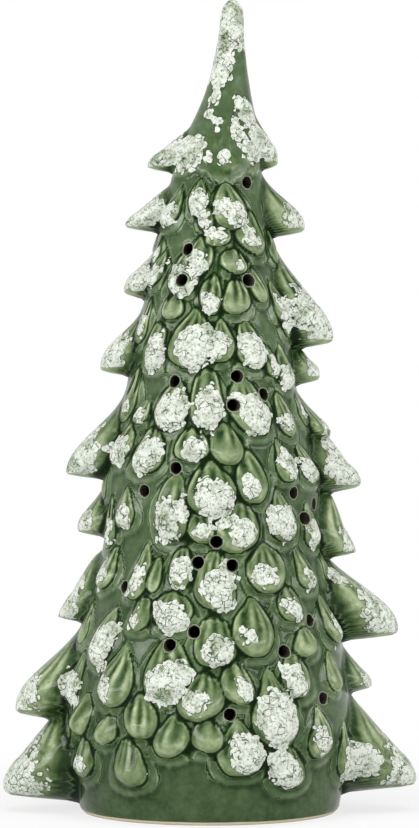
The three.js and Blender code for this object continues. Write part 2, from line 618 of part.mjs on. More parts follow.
// A pan-head screw hanging from the level of its seat
function screw(length) {
  return solid(
    turned(
      [[0, -length], [SCREW_RADIUS, -length], [SCREW_RADIUS, 0], [SCREW_HEAD_RADIUS, 0],
        [SCREW_HEAD_RADIUS, SCREW_HEAD_HEIGHT * 0.6], [SCREW_HEAD_RADIUS * 0.7, SCREW_HEAD_HEIGHT],
        [0, SCREW_HEAD_HEIGHT]],
      8,
    ),
  );
}
// A round-topped LED on two legs that stand on the board
function led() {
  const dome = [];
  for (let k = 0; k <= 3; k++) {
    const angle = (k * Math.PI) / 6;
    dome.push([LED_RADIUS * Math.cos(angle), LED_STAND + LED_BARREL + LED_RADIUS * Math.sin(angle)]);
  }
  dome[dome.length - 1][0] = 0;
  const lens = turned(
    [[0, LED_STAND], [LED_FLANGE_RADIUS, LED_STAND], [LED_FLANGE_RADIUS, LED_STAND + LED_FLANGE],
      [LED_RADIUS, LED_STAND + LED_FLANGE], ...dome],
    10,
  );
  const legs = [-LED_LEG_PITCH / 2, LED_LEG_PITCH / 2].map((x) =>
    block([x - LED_LEG / 2, -LED_LEG / 2, 0], [x + LED_LEG / 2, LED_LEG / 2, LED_STAND + LED_FLANGE]),
  );
  return join(lens, ...legs);
}
function resistor() {
  const lead = WIRE_RADIUS / 2;
  const body = new THREE.CylinderGeometry(RESISTOR_RADIUS, RESISTOR_RADIUS, RESISTOR_LENGTH, 12)
    .rotateZ(Math.PI / 2)
    .translate(0, 0, RESISTOR_STAND);
  const bar = block(
    [-RESISTOR_SPAN / 2 - lead, -lead, RESISTOR_STAND - lead],
    [RESISTOR_SPAN / 2 + lead, lead, RESISTOR_STAND + lead],
  );
  const legs = [-RESISTOR_SPAN / 2, RESISTOR_SPAN / 2].map((x) =>
    block([x - lead, -lead, 0], [x + lead, lead, RESISTOR_STAND]),
  );
  return join(body, bar, ...legs);
}

// Insulated leads inside the unit, each along its own route from a terminal to the next
const WIRE_SIDES = 6;
function wire(points, steps) {
  const section = new THREE.Shape();
  for (let k = 0; k < WIRE_SIDES; k++) {
    const angle = (k * 2 * Math.PI) / WIRE_SIDES;
    section[k ? "lineTo" : "moveTo"](WIRE_RADIUS * Math.cos(angle), WIRE_RADIUS * Math.sin(angle));
  }
  const path = new THREE.CatmullRomCurve3(points.map((p) => new THREE.Vector3(...p)), false, "centripetal");
  return solid(new THREE.ExtrudeGeometry(section, { extrudePath: path, steps, curveSegments: 1 }));
}
// The last stretch of the two leads that go up through the lid to the board: side is -1 or 1.
const overLid = lidTop + 4 * WIRE_RADIUS;
const padY = -(BOARD_RADIUS - BOARD_PAD_INSET);
const boardLead = (side) => [
  [side * WIRE_PAIR_SPREAD, wireHoleY, tubTop - WIRE_RADIUS],
  [side * WIRE_PAIR_SPREAD, wireHoleY, lidTop + 2 * WIRE_RADIUS],
  [side * 2 * WIRE_PAIR_SPREAD, wireHoleY + 6 * WIRE_RADIUS, overLid],
  [side * BOARD_PAD_SPREAD, padY - 3 * WIRE_RADIUS, overLid],
  [side * BOARD_PAD_SPREAD, padY, boardLow - 2.5 * WIRE_RADIUS],
  [side * BOARD_PAD_SPREAD, padY, boardLow],
];
// The first stretch of a lead that starts at a contact's tail above the bay's corner.
const tailLead = (side) => [
  [side * tailFace, side * cellPitch, wireLevel],
  [side * (tailFace - 3 * WIRE_RADIUS), side * cellPitch, wireLevel],
  [(side * bayHalfLength) / 2, side * bayHalfWidth, wireLevel],
];
// Each lead stands straight up from a pin of the switch, clear of its side towards the bay.
const besideSwitch = switchOffset - SWITCH_WIDTH / 2 - WIRE_RADIUS;
const redRoute = [
  ...tailLead(-1), [-2 * WIRE_HOLE_RADIUS, wireHoleY + 2 * WIRE_RADIUS, wireLevel + WIRE_RADIUS / 2],
  ...boardLead(-1),
];
const blackRoute = [
  ...tailLead(1), [2 * SWITCH_PIN_SPREAD, besideSwitch, wireLevel + WIRE_RADIUS / 2],
  [SWITCH_PIN_SPREAD, switchOffset, switchTop + 6 * WIRE_RADIUS],
  [SWITCH_PIN_SPREAD, switchOffset, switchTop],
];
const switchRoute = [
  [-SWITCH_PIN_SPREAD, switchOffset, switchTop],
  [-SWITCH_PIN_SPREAD, switchOffset, switchTop + 7 * WIRE_RADIUS],
  [-SWITCH_PIN_SPREAD, besideSwitch, wireLevel + WIRE_RADIUS],
  [-WIRE_PAIR_SPREAD, cellPitch, wireLevel + WIRE_RADIUS / 2],
  [2 * WIRE_PAIR_SPREAD, -cellPitch / 2, wireLevel + WIRE_RADIUS / 2],
  [2 * WIRE_PAIR_SPREAD, wireHoleY + 8 * WIRE_RADIUS, wireLevel + 1.5 * WIRE_RADIUS], ...boardLead(1),
];

// Colours and finishes
function finish(color, roughness, metalness = 0) {
  return new THREE.MeshStandardMaterial({ color, roughness, metalness });
}
const GLAZE = finish(0x4d6b45, 0.15);
const HOUSING_PLASTIC = finish(0x22241f, 0.5);
const FOAM = finish(0xe8e6df, 0.95);
const CELL_JACKET = finish(0x3c4a57, 0.35, 0.3);
const SPRING_STEEL = finish(0xb9bcc0, 0.3, 1);
const BOARD_WHITE = finish(0xf0efe8, 0.5);
const LENS = finish(0xf4e3b4, 0.1);
const RED = finish(0x9c1f1b, 0.5);
const BLACK = finish(0x151515, 0.5);
const SAND = finish(0xc9a876, 0.5);

const tree = new THREE.Group();
function add(name, made, material, place = [0, 0, 0]) {
  const mesh = new THREE.Mesh(geometryOf(made), material);
  mesh.name = name;
  mesh.position.set(...place);
  tree.add(mesh);
}

add("tree_shell", treeShell(), GLAZE);
add("seal_ring", sealRing(), FOAM);
add("housing", housing(), HOUSING_PLASTIC);
add("battery_door", batteryDoor(), HOUSING_PLASTIC);
CELL_FACINGS.forEach((facing, i) => {
  add(`battery_${i + 1}`, cell(facing), CELL_JACKET, [cellCentre(facing), (i - 1) * cellPitch, cellAxis]);
});
add("contact_positive", contact({ side: -1, rows: [-1], tail: -1 }), SPRING_STEEL);
add("contact_bridge_left", contact({ side: -1, rows: [0, 1], sprung: 0 }), SPRING_STEEL);
add("contact_bridge_right", contact({ side: 1, rows: [-1, 0], sprung: -1 }), SPRING_STEEL);
add("contact_negative", contact({ side: 1, rows: [1], sprung: 1, tail: 1 }), SPRING_STEEL);
add("switch_body", switchBody(), SPRING_STEEL);
add("switch_knob", switchKnob(), BLACK, [-KNOB_TRAVEL / 2, switchOffset, 0]);
add("housing_lid", housingLid(), HOUSING_PLASTIC);
lidScrewPlaces.forEach(([x, y], i) => {
  add(`lid_screw_${i + 1}`, screw(LID_SCREW_LENGTH), SPRING_STEEL, [x, y, lidTop]);
});
add("circuit_board", circuitBoard(), BOARD_WHITE);
[-BOARD_SCREW_X, BOARD_SCREW_X].forEach((x, i) => {
  add(`board_screw_${i + 1}`, screw(BOARD_SCREW_LENGTH), SPRING_STEEL, [x, 0, boardTop]);
});
ledPlaces.forEach(([x, y], i) => {
  add(`led_${i + 1}`, led(), LENS, [x, y, boardTop]);
});
add("resistor", resistor(), SAND, [0, 0, boardTop]);
add("wire_red", wire(redRoute, 18), RED);
add("wire_black", wire(blackRoute, 12), BLACK);
add("wire_switch", wire(switchRoute, 22), BLACK);

export default tree;
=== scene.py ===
"""A lighted Christmas tree: a slip-cast stoneware tree, glazed green and capped with painted snow,
with a battery light unit in its foot. Metres, standing on z = 0, its front towards -Y."""
import math

import bmesh
import bpy
import numpy as np
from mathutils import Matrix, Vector


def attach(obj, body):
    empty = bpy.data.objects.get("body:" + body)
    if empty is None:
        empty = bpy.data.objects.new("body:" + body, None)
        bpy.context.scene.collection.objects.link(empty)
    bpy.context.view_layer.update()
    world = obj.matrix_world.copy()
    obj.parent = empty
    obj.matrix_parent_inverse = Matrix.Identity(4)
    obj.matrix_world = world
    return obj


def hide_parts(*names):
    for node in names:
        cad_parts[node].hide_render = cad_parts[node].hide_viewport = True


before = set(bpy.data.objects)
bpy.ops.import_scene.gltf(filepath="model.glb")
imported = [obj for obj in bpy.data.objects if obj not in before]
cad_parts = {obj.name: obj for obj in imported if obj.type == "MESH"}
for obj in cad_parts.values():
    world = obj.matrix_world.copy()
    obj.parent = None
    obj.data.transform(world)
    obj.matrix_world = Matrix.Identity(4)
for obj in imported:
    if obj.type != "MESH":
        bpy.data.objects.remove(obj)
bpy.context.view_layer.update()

# The tree is one hollow casting in stoneware, poured as liquid clay into a two-part plaster mould.
# Its face is all boughs: plump drops with a pointed top and flutes that fan out from the point, each
# on a low ledge of its own. Bigger limbs stand out along the two seams of the mould.
MM = 0.001
# The bare body between the boughs, as (height, radius), and how far its axis leans towards +X.
BODY_PROFILE = [
    (0, 49.43), (1.5, 50.93), (13, 52.83), (38, 56), (66, 52), (90, 46.5), (106, 42), (130, 42), (165, 33.5),
    (195, 28.5), (226, 22), (264, 14.6), (274, 11.2), (281, 9), (290, 7), (303, 5), (312, 4.5), (315.5, 3.6),
    (317.4, 1.9),
]
TIP_HEIGHT = 318
TREE_LEAN = [(60, 0), (108, 1.2), (168, 1), (226, 2), (250, 3), (266, 5.4), (282, 7.4), (318, 9.2)]
# The rows are closest together where the boughs are, as (share of the rows, height), and the columns are
# closer together on the front, by this share.
ROWS = 328
ROW_SPREAD = [(0, 0), (0.03, 10), (0.89, 264), (1, 317.4)]
COLUMNS = 270
FRONT_DENSITY = 0.34

# Boughs on the front, row by row up the tree: bearing in degrees from the front towards +X, height of
# the lower end, width and length in millimetres, and how much snow lies on it, from 0 to 1.
FRONT_BOUGHS = [
    (-62, 15, 17, 20, 0.3), (-34, 14, 19, 22, 0), (-15, 26, 16, 20, 0), (-1, 28, 16, 17, 0),
    (12, 19, 23, 24, 0.8), (33, 13, 20, 21, 0.9), (49, 24, 16, 22, 0.5), (71, 14, 17, 24, 0.9),
    (-61, 32, 17, 18, 0), (-45, 29, 13, 15, 0), (-28, 33, 19, 20, 0), (-3, 40, 20, 22, 0.4),
    (27, 29, 23, 33, 0.9),
    (-70, 43, 15, 22, 0.9), (-41, 44, 20, 26, 0.35), (-18, 48, 22, 26, 0.9), (11, 46, 17, 20, 0.35),
    (38, 48, 16, 21, 0.6), (61, 48, 12, 18, 0),
    (-52, 59, 18, 25, 0.9), (-33, 73, 11, 18, 0.3), (-17, 74, 20, 18, 0.8), (2, 60, 20, 23, 0.7),
    (19, 64, 19, 25, 0.1), (44, 63, 14, 14, 0), (66, 67, 17, 20, 0.4),
    (-37, 85, 12, 24, 0.7), (-28, 88, 9, 15, 0), (38, 77, 15, 17, 0.6), (-62, 88, 15, 20, 0.5),
    (-15, 90, 13, 19, 0.8), (2, 81, 20, 27, 0.95), (27, 88, 19, 22, 0.3), (51, 88, 14, 19, 0.35),
    (-52, 112, 13, 18, 0.45), (-21, 107, 18, 28, 0.75), (-5, 107, 15, 16, 0.35), (13, 103, 21, 23, 0.5),
    (38, 107, 17, 23, 0.85), (62, 104, 15, 19, 0.8),
    (-1, 117, 22, 25, 0.85), (21, 122, 17, 24, 0.4), (-38, 133, 17, 22, 0.8), (42, 130, 12, 19, 0.85),
    (62, 129, 15, 17, 0.7), (-61, 136, 15, 20, 0.7),
    (-12, 138, 17, 16, 0.6), (8, 137, 17, 19, 0), (-49, 152, 11, 11, 0.5), (24, 148, 21, 24, 0.85),
    (50, 147, 13, 19, 0.3),
    (-26, 150, 17, 22, 0.9), (-4, 151, 17, 27, 0.9), (58, 165, 13, 20, 0.35),
    (-44, 173, 14, 22, 0.8), (-15, 173, 21, 27, 0.85), (5, 176, 13, 20, 0.95), (27, 173, 16, 21, 0.95),
    (43, 170, 10, 16, 0.5),
    (-33, 192, 13, 13, 0), (-1, 194, 11, 20, 0.5), (18, 194, 13, 18, 0), (38, 199, 11, 16, 0),
    (62, 191, 13, 18, 0.8),
    (-27, 202, 15, 20, 0.85), (-11, 210, 14, 17, 0.8), (19, 210, 13, 12, 0.1), (-58, 205, 12, 16, 0.7),
    (38, 217, 18, 21, 0.1), (4, 221, 12, 11, 0.5), (-20, 232, 11, 16, 0.9), (-8, 227, 9, 12, 0.5),
    (-55, 228, 12, 17, 0.7),
    (14, 227, 18, 21, 0.6), (11, 248, 13, 19, 0.1), (-16, 251, 10, 15, 0.1), (44, 251, 12, 17, 0.3),
    (-50, 250, 11, 15, 0.7),
]
# Fainter boughs beside the limbs, and how far they stand out beside the others.
SIDE_BOUGHS = [
    (-66, 152, 16, 24, 0.15), (-68, 103, 15, 23, 0.25), (-73, 66, 14, 20, 0), (-66, 182, 13, 20, 0.2),
    (-68, 214, 10, 14, 0.15), (70, 184, 12, 18, 0.15), (72, 214, 11, 16, 0), (76, 88, 13, 18, 0.2),
    (-76, 122, 12, 18, 0), (74, 150, 12, 18, 0.3), (-78, 27, 12, 16, 0),
]
SIDE_SHARE = 0.6
# How far a bough stands out: this lift and this share of its width. Then where its crest lies between
# its point and its foot, and how far it hangs aside.
BOUGH_LIFT = 2.05
BOUGH_LIFT_SHARE = 0.17
BOUGH_CREST = 0.72
BOUGH_LEAN = 0.22
# Limbs along the seams: height of the tip, reach from the axis, width, length above the tip and below
# it, fullness of the upper side, and snow.
LEFT_LIMBS = [
    (10, 81.3, 40, 36, 5.8, 0.5, 0.55), (42, 75.9, 38.8, 34, 5.5, 0, 0.35),
    (77.5, 59.5, 27.5, 25, 3.2, 1.2, 0.6), (112, 52, 27.5, 18, 4, 0.3, 0.45),
    (134.5, 56.3, 36.2, 32, 4, 0, 0.6), (177, 42.3, 28.8, 21, 6, 0, 0.7),
    (207, 33.5, 23.8, 14, 5.5, 0.4, 1), (231, 33, 26.2, 14, 3.6, 0.8, 1), (255, 23.6, 17.5, 12, 4.5, 0.9, 1),
]
RIGHT_LIMBS = [
    (12.5, 81.5, 38.8, 35, 4.5, 0.45, 0.45), (51, 64, 23.8, 14, 4, 0.6, 0.3),
    (73.8, 73.7, 37.5, 31, 6.5, 0.1, 0.5), (103.5, 57.3, 28.8, 24, 3.8, 1.5, 0.3),
    (130.5, 59.2, 31.2, 19, 5, 2, 0.7), (149.5, 47.6, 21.2, 15, 3, 0.5, 0.3),
    (173.5, 43.3, 18.8, 10, 6, 1.5, 0.45), (188, 48.5, 32.5, 35, 6, 0.4, 0.7),
    (231.5, 37, 26.2, 19, 6, 0.3, 0.35), (257.5, 27, 17.5, 15, 6, 0.5, 0.8),
]
LIMB_FLUTES = 7
# The rounded nose of a limb: its share of the reach, and of the length above the tip.
NOSE_SHARE = 0.12
NOSE_RISE = 0.3
# The back has the same boughs and holes, each moved by up to this many millimetres and degrees.
BACK_SHIFT = 3
BACK_TURN_RATE = 2.4
BACK_LIFT_RATE = 1.7
# The ledge under a bough, the flutes in it, the fillet between forms, and the waver of outlines.
LEDGE_MARGIN = 3.2
LEDGE_HEIGHT = 1.1
FLUTE_DEPTH = 0.8
FILLET = 0.8
WAVER = 0.9
# Where a drop is widest and its flutes end, from its point to its foot, and the power that rounds its
# flanks, for boughs and for limbs.
DROP_WIDEST = 0.64
FLUTES_END = 0.74
BOUGH_FLANK, LIMB_FLANK = 0.75, 0.6
# The drops grow faint from the first of these heights to the second, under the spire.
FAINT_FROM, FAINT_TO = 236, 246
# Distances to the edge of a form, or of the snow, are followed this far.
FAR = 3.0
# More snow on the spire: bearing, height, half its width and half its height.
SPIRE_SNOW = [
    (0, 311, 40, 13), (-60, 297, 7.5, 13), (-25, 291, 3.8, 9), (-30, 281, 2.8, 4), (-35, 273, 1.8, 3),
    (-12, 269, 1.2, 2), (28, 277, 2.8, 3.2), (48, 272, 4.6, 6.5), (24, 266, 2.6, 5), (62, 262, 6, 6.5),
    (40, 260, 3, 4), (-52, 258, 8.5, 5.6), (-34, 256, 4, 4.4), (170, 284, 5, 7), (150, 268, 5, 6),
]
# The light holes, as (bearing, height), are cut through the leather-hard casting with a thin tube. Those
# of the back are turned on, so that no light from behind shows through a pair of them.
BACK_HOLE_TURN = 25
LIGHT_HOLES = [
    (41, 246), (-26, 220), (-25, 208), (30, 208), (-26, 169), (17, 171), (36, 164), (13, 160),
    (-20, 136), (-39, 127), (49, 126), (71, 121), (56, 116), (2, 108), (-7, 100), (10, 99),
    (-46, 90), (-7, 74), (51, 77), (33, 66), (-17, 69), (8, 43), (53, 47),
]
HOLE_RADIUS = 2.3
HOLE_SIDES = 28
DISH_WIDTH = 1.6
DISH_DEPTH = 0.5


def smooth_step(low, high, value):
    share = np.clip((value - low) / (high - low), 0, 1)
    return share * share * (3 - 2 * share)


def body_radius(height):
    """The bare casting's radius, with the corners of its profile drawn in softly."""
    heights, radii = zip(*BODY_PROFILE + [(TIP_HEIGHT, 0)])
    soft = [np.interp(height + shift, heights, radii) for shift in (-2, -1, 0, 1, 2)]
    sharp = np.interp(height, heights, radii)
    return np.where((height < 4) | (height > 309), sharp, np.mean(soft, axis=0))


def tree_lean(height):
    heights, shifts = zip(*TREE_LEAN)
    return np.mean([np.interp(height + shift, heights, shifts) for shift in (-8, -4, 0, 4, 8)], axis=0)


def drop_outline(t, widest, point):
    """Half width of a drop, from 0 at its point (t = 0) to 1 and round to 0 at its foot (t = 1)."""
    opening = np.sin(np.pi / 2 * np.clip(t / widest, 0, 1)) ** point
    closing = np.sqrt(np.clip(1 - ((t - widest) / (1 - widest)) ** 2, 0, 1))
    return np.where(t < widest, opening, closing)


def on_back(index, bearing, height):
    """The same place on the back, moved a little so that the two halves aren't mirror images."""
    turn = BACK_SHIFT * math.sin(BACK_TURN_RATE * index)
    return 180 - bearing + turn, height + BACK_SHIFT * math.sin(BACK_LIFT_RATE * index)


def turn_between(one, other):
    return (one - other + 180) % 360 - 180


class Casting:
    """The face of the tree, as what stands out from the bare body at each bearing and height."""

    def __init__(self):
        turn = np.linspace(0, 2 * np.pi, COLUMNS, endpoint=False)
        self.bearing = np.degrees(turn - FRONT_DENSITY * np.sin(turn))
        self.height = np.interp(np.linspace(0, 1, ROWS), *zip(*ROW_SPREAD))
        shape = (ROWS, COLUMNS)
        self.first = np.zeros(shape)
        self.second = np.full(shape, -1.0)
        self.fluted = np.zeros(shape)
        self.phase = np.zeros(shape)
        self.snow = np.full(shape, -FAR)
        self.bough = np.zeros(shape)

    def lay(self, window, out, fluted, phase, bough):
        """Lays one form over what is there: the higher one wins, and the lower is kept as second."""
        first = self.first[window]
        wins = out > first
        self.second[window] = np.where(wins, first, np.maximum(self.second[window], out))
        self.first[window] = np.where(wins, out, first)
        for kept, new in ((self.fluted, fluted), (self.phase, phase), (self.bough, bough)):
            kept[window] = np.where(wins, new, kept[window])

    def place(self, seed, bearing, top, low, width, stand_at, flutes, paint, ledge):
        """One drop, the snow that paint lays on it, and the ledge round it where it has one. The sines
        of its seed give it irregularities of its own."""
        length = top - low
        rows = np.nonzero((self.height > low - ledge - 1) & (self.height < top + 1))[0]
        away = turn_between(self.bearing, bearing)
        columns = np.nonzero(np.abs(away) < np.degrees((width * 0.75 + ledge + 4) / body_radius(top)))[0]
        window = np.ix_(rows, columns)
        height = self.height[rows][:, None]
        t = (top - height) / length
        standing = np.where((t > 0) & (t < 1), stand_at(np.clip(t, 0, 1)), 0)
        radius = body_radius(height) + 0.7 * standing
        across = np.radians(away[columns])[None, :] * radius
        lean = BOUGH_LEAN * math.sin(math.radians(bearing)) * (ledge > 0)
        across = across + lean * (height - low - 0.3 * length)
        across = across + WAVER * (ledge > 0) * np.sin(height / 5.3 + 1.7 * seed + 0.8 * np.sin(across / 4))
        t = t + WAVER * (ledge > 0) / length * np.sin(across / 3.7 + 2.9 * seed)
        widest = DROP_WIDEST + 0.05 * math.sin(2.3 * seed)
        point = 1.0 + 0.22 * math.sin(3.7 * seed)
        half = width / 2 * np.maximum(drop_outline(t, widest, point), 1e-3)
        u = np.where((t > 0) & (t < 1), across / half, 9)
        edge = np.clip(np.abs(u), 0, 1)
        swell = (1 - edge ** 2.1) ** (BOUGH_FLANK if ledge > 0 else LIMB_FLANK)
        phase = flutes * (u + 0.9) / 1.8 + 0.24 * np.sin(3.1 * u + 7.3 * seed)
        phase = phase + 0.09 * np.sin(height / 2.9 + seed)
        starts = 0.1 if ledge > 0 else 0.12
        run_out = FLUTES_END + 0.14 * math.sin(3.3 * seed)
        strength = smooth_step(starts, starts + 0.22, t)
        strength = strength * (1 - smooth_step(run_out - 0.35, run_out + 0.12, t)) * (1 - edge ** 6)
        fluted = strength * (0.8 + 0.2 * np.sin(5.9 * seed + 2.6 * u))
        depth = FLUTE_DEPTH * min(1, width / 15)
        out = standing * swell - depth * fluted * (0.5 + 0.5 * np.cos(2 * np.pi * phase))
        out = np.where(np.abs(u) < 1, out, -1)
        self.lay(window, out, fluted, phase, 1 + 0 * u)
        painted = np.clip(paint(across, height, t, out), -FAR, FAR)
        self.snow[window] = np.maximum(self.snow[window], painted)
        if ledge > 0:
            t = (top - height) / (length + ledge)
            half = (width / 2 + ledge) * np.maximum(drop_outline(t, widest + 0.04, point), 1e-3)
            u = np.where((t > 0) & (t < 1), across / half, 9)
            rim = np.clip(t * 2.4, 0, 1) * (1 - np.clip(np.abs(u), 0, 1) ** 7) ** 0.7
            out = np.where(np.abs(u) < 1, LEDGE_HEIGHT * rim, -1)
            self.lay(window, out, 0 * u, phase, 0 * u + 0.5)

    def face_bough(self, seed, bearing, low, width, length, snow, share=1):
        reach = share * (BOUGH_LIFT + BOUGH_LIFT_SHARE * width)
        reach = reach * (1 - 0.62 * float(smooth_step(FAINT_FROM, FAINT_TO, low)))

        def stand_at(t):
            rising = np.clip(t / BOUGH_CREST, 0, 1) ** 0.85
            falling = np.sqrt(np.clip(1 - ((t - BOUGH_CREST) / (1 - BOUGH_CREST)) ** 2, 0, 1))
            return reach * np.where(t < BOUGH_CREST, rising, falling)

        tall = (0.12 + 0.23 * snow) * length
        wide = (0.13 + 0.25 * snow) * width
        middle = low + length * (0.32 + 0.05 * math.sin(5.3 * seed))
        slant = 0.5 * math.sin(0.7 * math.sin(6.1 * seed))
        dabs = []
        if snow > 0:
            dabs.append((1, 0.12 * math.sin(2.1 * seed), 0))
        if snow > 0.45:
            dabs.append((0.55, 0.26 * math.sin(4.7 * seed), 0.14))

        def paint(across, height, t, out):
            """Slanting dabs of snow paint, as the distance inside their edge."""
            inside = 0 * out - FAR
            for size, aside, above in dabs:
                over, up = across - aside * width, height - middle - above * length
                over, up = over - up * slant, up + over * slant
                inside = np.maximum(inside, (size - np.hypot(over / wide, up / tall)) * min(tall, wide))
            return inside

        flutes = 3 if width < 19 else 4
        ledge = LEDGE_MARGIN * min(1, width / 16)
        self.place(seed, bearing, low + length, low, width, stand_at, flutes, paint, ledge)

    def limb(self, seed, side, tip, reach_from_axis, width, above, below, fullness, snow):
        reach = reach_from_axis - float(body_radius(tip)) - side * tree_lean(tip)
        tip_share = above / (above + below)

        def stand_at(t):
            run = np.clip(t / tip_share, 0, 1)
            nose = np.sqrt(1 - np.clip((1 - run) / NOSE_RISE, 0, 1) ** 2)
            full = (1 - NOSE_SHARE) * run ** (1 - fullness / 3) + NOSE_SHARE * nose
            sway = max(0, 1 - fullness)
            over = sway * smooth_step(0.02, 0.97, run) + (1 - sway) * full
            down = np.clip((t - tip_share) / (1 - tip_share), 0, 1)
            return reach * np.where(t < tip_share, over, (1 - down ** 5) ** 0.35)

        def paint(across, height, t, out):
            """Snow over the nose of the limb, and none on its flat underside."""
            cap = (out / reach - 1 + 0.85 * snow) * 11
            return np.where(t < tip_share + 0.5 * (1 - tip_share), cap, -FAR)

        self.place(seed, 90 * side, tip + above, tip - below, width, stand_at, LIMB_FLUTES, paint, 0)


casting = Casting()
level = casting.height[:, None]
bare_radius = body_radius(level)


def across_from(bearing):
    """How far round the tree each point of the casting's face lies from a bearing."""
    return np.radians(turn_between(casting.bearing, bearing))[None, :] * bare_radius


for index, (bearing, low, width, length, snow) in enumerate(FRONT_BOUGHS + SIDE_BOUGHS):
    share = 1 if index < len(FRONT_BOUGHS) else SIDE_SHARE
    casting.face_bough(index, bearing, low, width, length, snow, share)
    back_bearing, back_low = on_back(index, bearing, low)
    back_snow = max(0, snow - 0.1 * math.sin(3 * index))
    casting.face_bough(index + 7, back_bearing, back_low, width, length, back_snow, share)
for side, limbs in ((-1, LEFT_LIMBS), (1, RIGHT_LIMBS)):
    for index, limb in enumerate(limbs):
        casting.limb(index + 3, side, *limb)
for bearing, height, wide, tall in SPIRE_SNOW:
    inside = 1 - np.hypot(across_from(bearing) / wide, (level - height) / tall)
    casting.snow = np.maximum(casting.snow, np.clip(inside * min(wide, tall), -FAR, FAR))


def softer(field, times):
    """The same field with its detail smoothed away, wrapped round the tree."""
    for _ in range(times):
        field = (np.roll(field, 1, axis=1) + 2 * field + np.roll(field, -1, axis=1)) / 4
        field = (np.vstack([field[:1], field[:-1]]) + 2 * field + np.vstack([field[1:], field[-1:]])) / 4
    return field


gap = casting.first - casting.second
close = np.clip(FILLET - gap, 0, FILLET)
stand = np.maximum(casting.first, 0) + close ** 2 / (4 * FILLET)
# the clay is a little uneven, and nothing stands out at the foot ring
turn = np.radians(casting.bearing)[None, :]
unevenness = np.sin(5 * turn + level / 17) + np.sin(-3 * turn + level / 11)
stand = stand + 0.18 * unevenness * smooth_step(16, 26, level) * (1 - smooth_step(280, 300, level))
stand = softer(stand * smooth_step(1.5, 4, level), 1)
# how far it is to where one form meets another, with its sign turned on the ledges
column_gap = bare_radius * np.gradient(np.unwrap(turn[0]))[None, :]
row_gap = np.gradient(casting.height)[:, None]
slope = np.hypot(np.gradient(gap, axis=1) / column_gap, np.gradient(gap, axis=0) / row_gap)
for axis in (0, 1):
    slope = np.maximum(slope, np.maximum(np.roll(slope, 1, axis), np.roll(slope, -1, axis)))
reach_of_gap = gap / np.maximum(slope, 0.35)
contour = np.clip(reach_of_gap, 0, FAR) * np.where(casting.bough == 0.5, -1, 1)
alone = (casting.second < 0.02) & (casting.bough != 0.5) & (casting.first > 0.3)
contour = np.where(alone, FAR, contour)
# no outline shows round the faint drops under the spire
low_relief = smooth_step(244, 252, level) * (np.abs(turn_between(casting.bearing, 90)) > 40)[None, :]
contour = np.where(low_relief > 0.5, FAR, contour)
# painted shade: strongest in the crease where one form meets another, and half as strong under the spire
crease = (1 - smooth_step(0.1, 1.1, reach_of_gap)) * (casting.second > 0.02) * (1 - 0.5 * low_relief)
# a shallow dish is rubbed round each hole, and no snow is painted on it
back_holes = [on_back(index, *hole) for index, hole in enumerate(LIGHT_HOLES)]
holes = LIGHT_HOLES + [(bearing + BACK_HOLE_TURN, height) for bearing, height in back_holes]
to_hole = np.full((ROWS, COLUMNS), 99.0)
for bearing, height in holes:
    to_hole = np.minimum(to_hole, np.hypot(across_from(bearing), level - height))
stand = stand - DISH_DEPTH * (1 - smooth_step(HOLE_RADIUS, HOLE_RADIUS + DISH_WIDTH, to_hole))
casting.snow = np.minimum(casting.snow, (to_hole - HOLE_RADIUS - 0.4) * 1.5)
ridge = np.clip((stand - softer(stand, 7)) / 0.45, -1, 1)


def ring_points(radius, height):
    """A ring of points about the leaning axis, in millimetres."""
    bearing = np.radians(casting.bearing)
    x = tree_lean(height) + radius * np.sin(bearing)
    return np.stack([x, -radius * np.cos(bearing), np.full(COLUMNS, float(height))], axis=-1)


WALL = 4.5
FLOOR_LOW = 7
FLOOR_TOP = 11.5
RECESS_RADIUS = 43.43
FLOOR_HOLE_RADIUS = 36.03
HOLLOW_TOP = 262
outer = np.concatenate([ring_points(bare_radius[k] + stand[k], casting.height[k]) for k in range(ROWS)])
hollow_levels = [FLOOR_TOP, 16, 26, 38, 66, 90, 106, 130, 165, 195, 226, 248, HOLLOW_TOP]
# the inside, as (radius, height): foot ring, recess for the light unit, opening in the floor, hollow
inner = [
    (48.6, 0), (44.2, 0), (RECESS_RADIUS, 0.8), (RECESS_RADIUS, FLOOR_LOW), (FLOOR_HOLE_RADIUS, FLOOR_LOW),
    (FLOOR_HOLE_RADIUS, FLOOR_TOP),
] + [(float(body_radius(height)) - WALL, height) for height in hollow_levels]
tip = [[tree_lean(TIP_HEIGHT), 0, TIP_HEIGHT]]
hollow_tip = [[tree_lean(HOLLOW_TOP), 0, HOLLOW_TOP + WALL]]
points = np.concatenate([outer, *(ring_points(*ring) for ring in inner), tip, hollow_tip]) * MM


def band(lower, upper):
    """Faces between two rings of points, given by each ring's first point."""
    column = np.arange(COLUMNS)
    after = (column + 1) % COLUMNS
    return np.stack([lower + column, lower + after, upper + after, upper + column], axis=1).tolist()


def cap(ring, point, upward):
    """Faces from a ring of points to one point that closes it."""
    column = np.arange(COLUMNS)
    after = (column + 1) % COLUMNS
    order = (column, after) if upward else (after, column)
    return np.stack([ring + order[0], ring + order[1], np.full(COLUMNS, point)], axis=1).tolist()


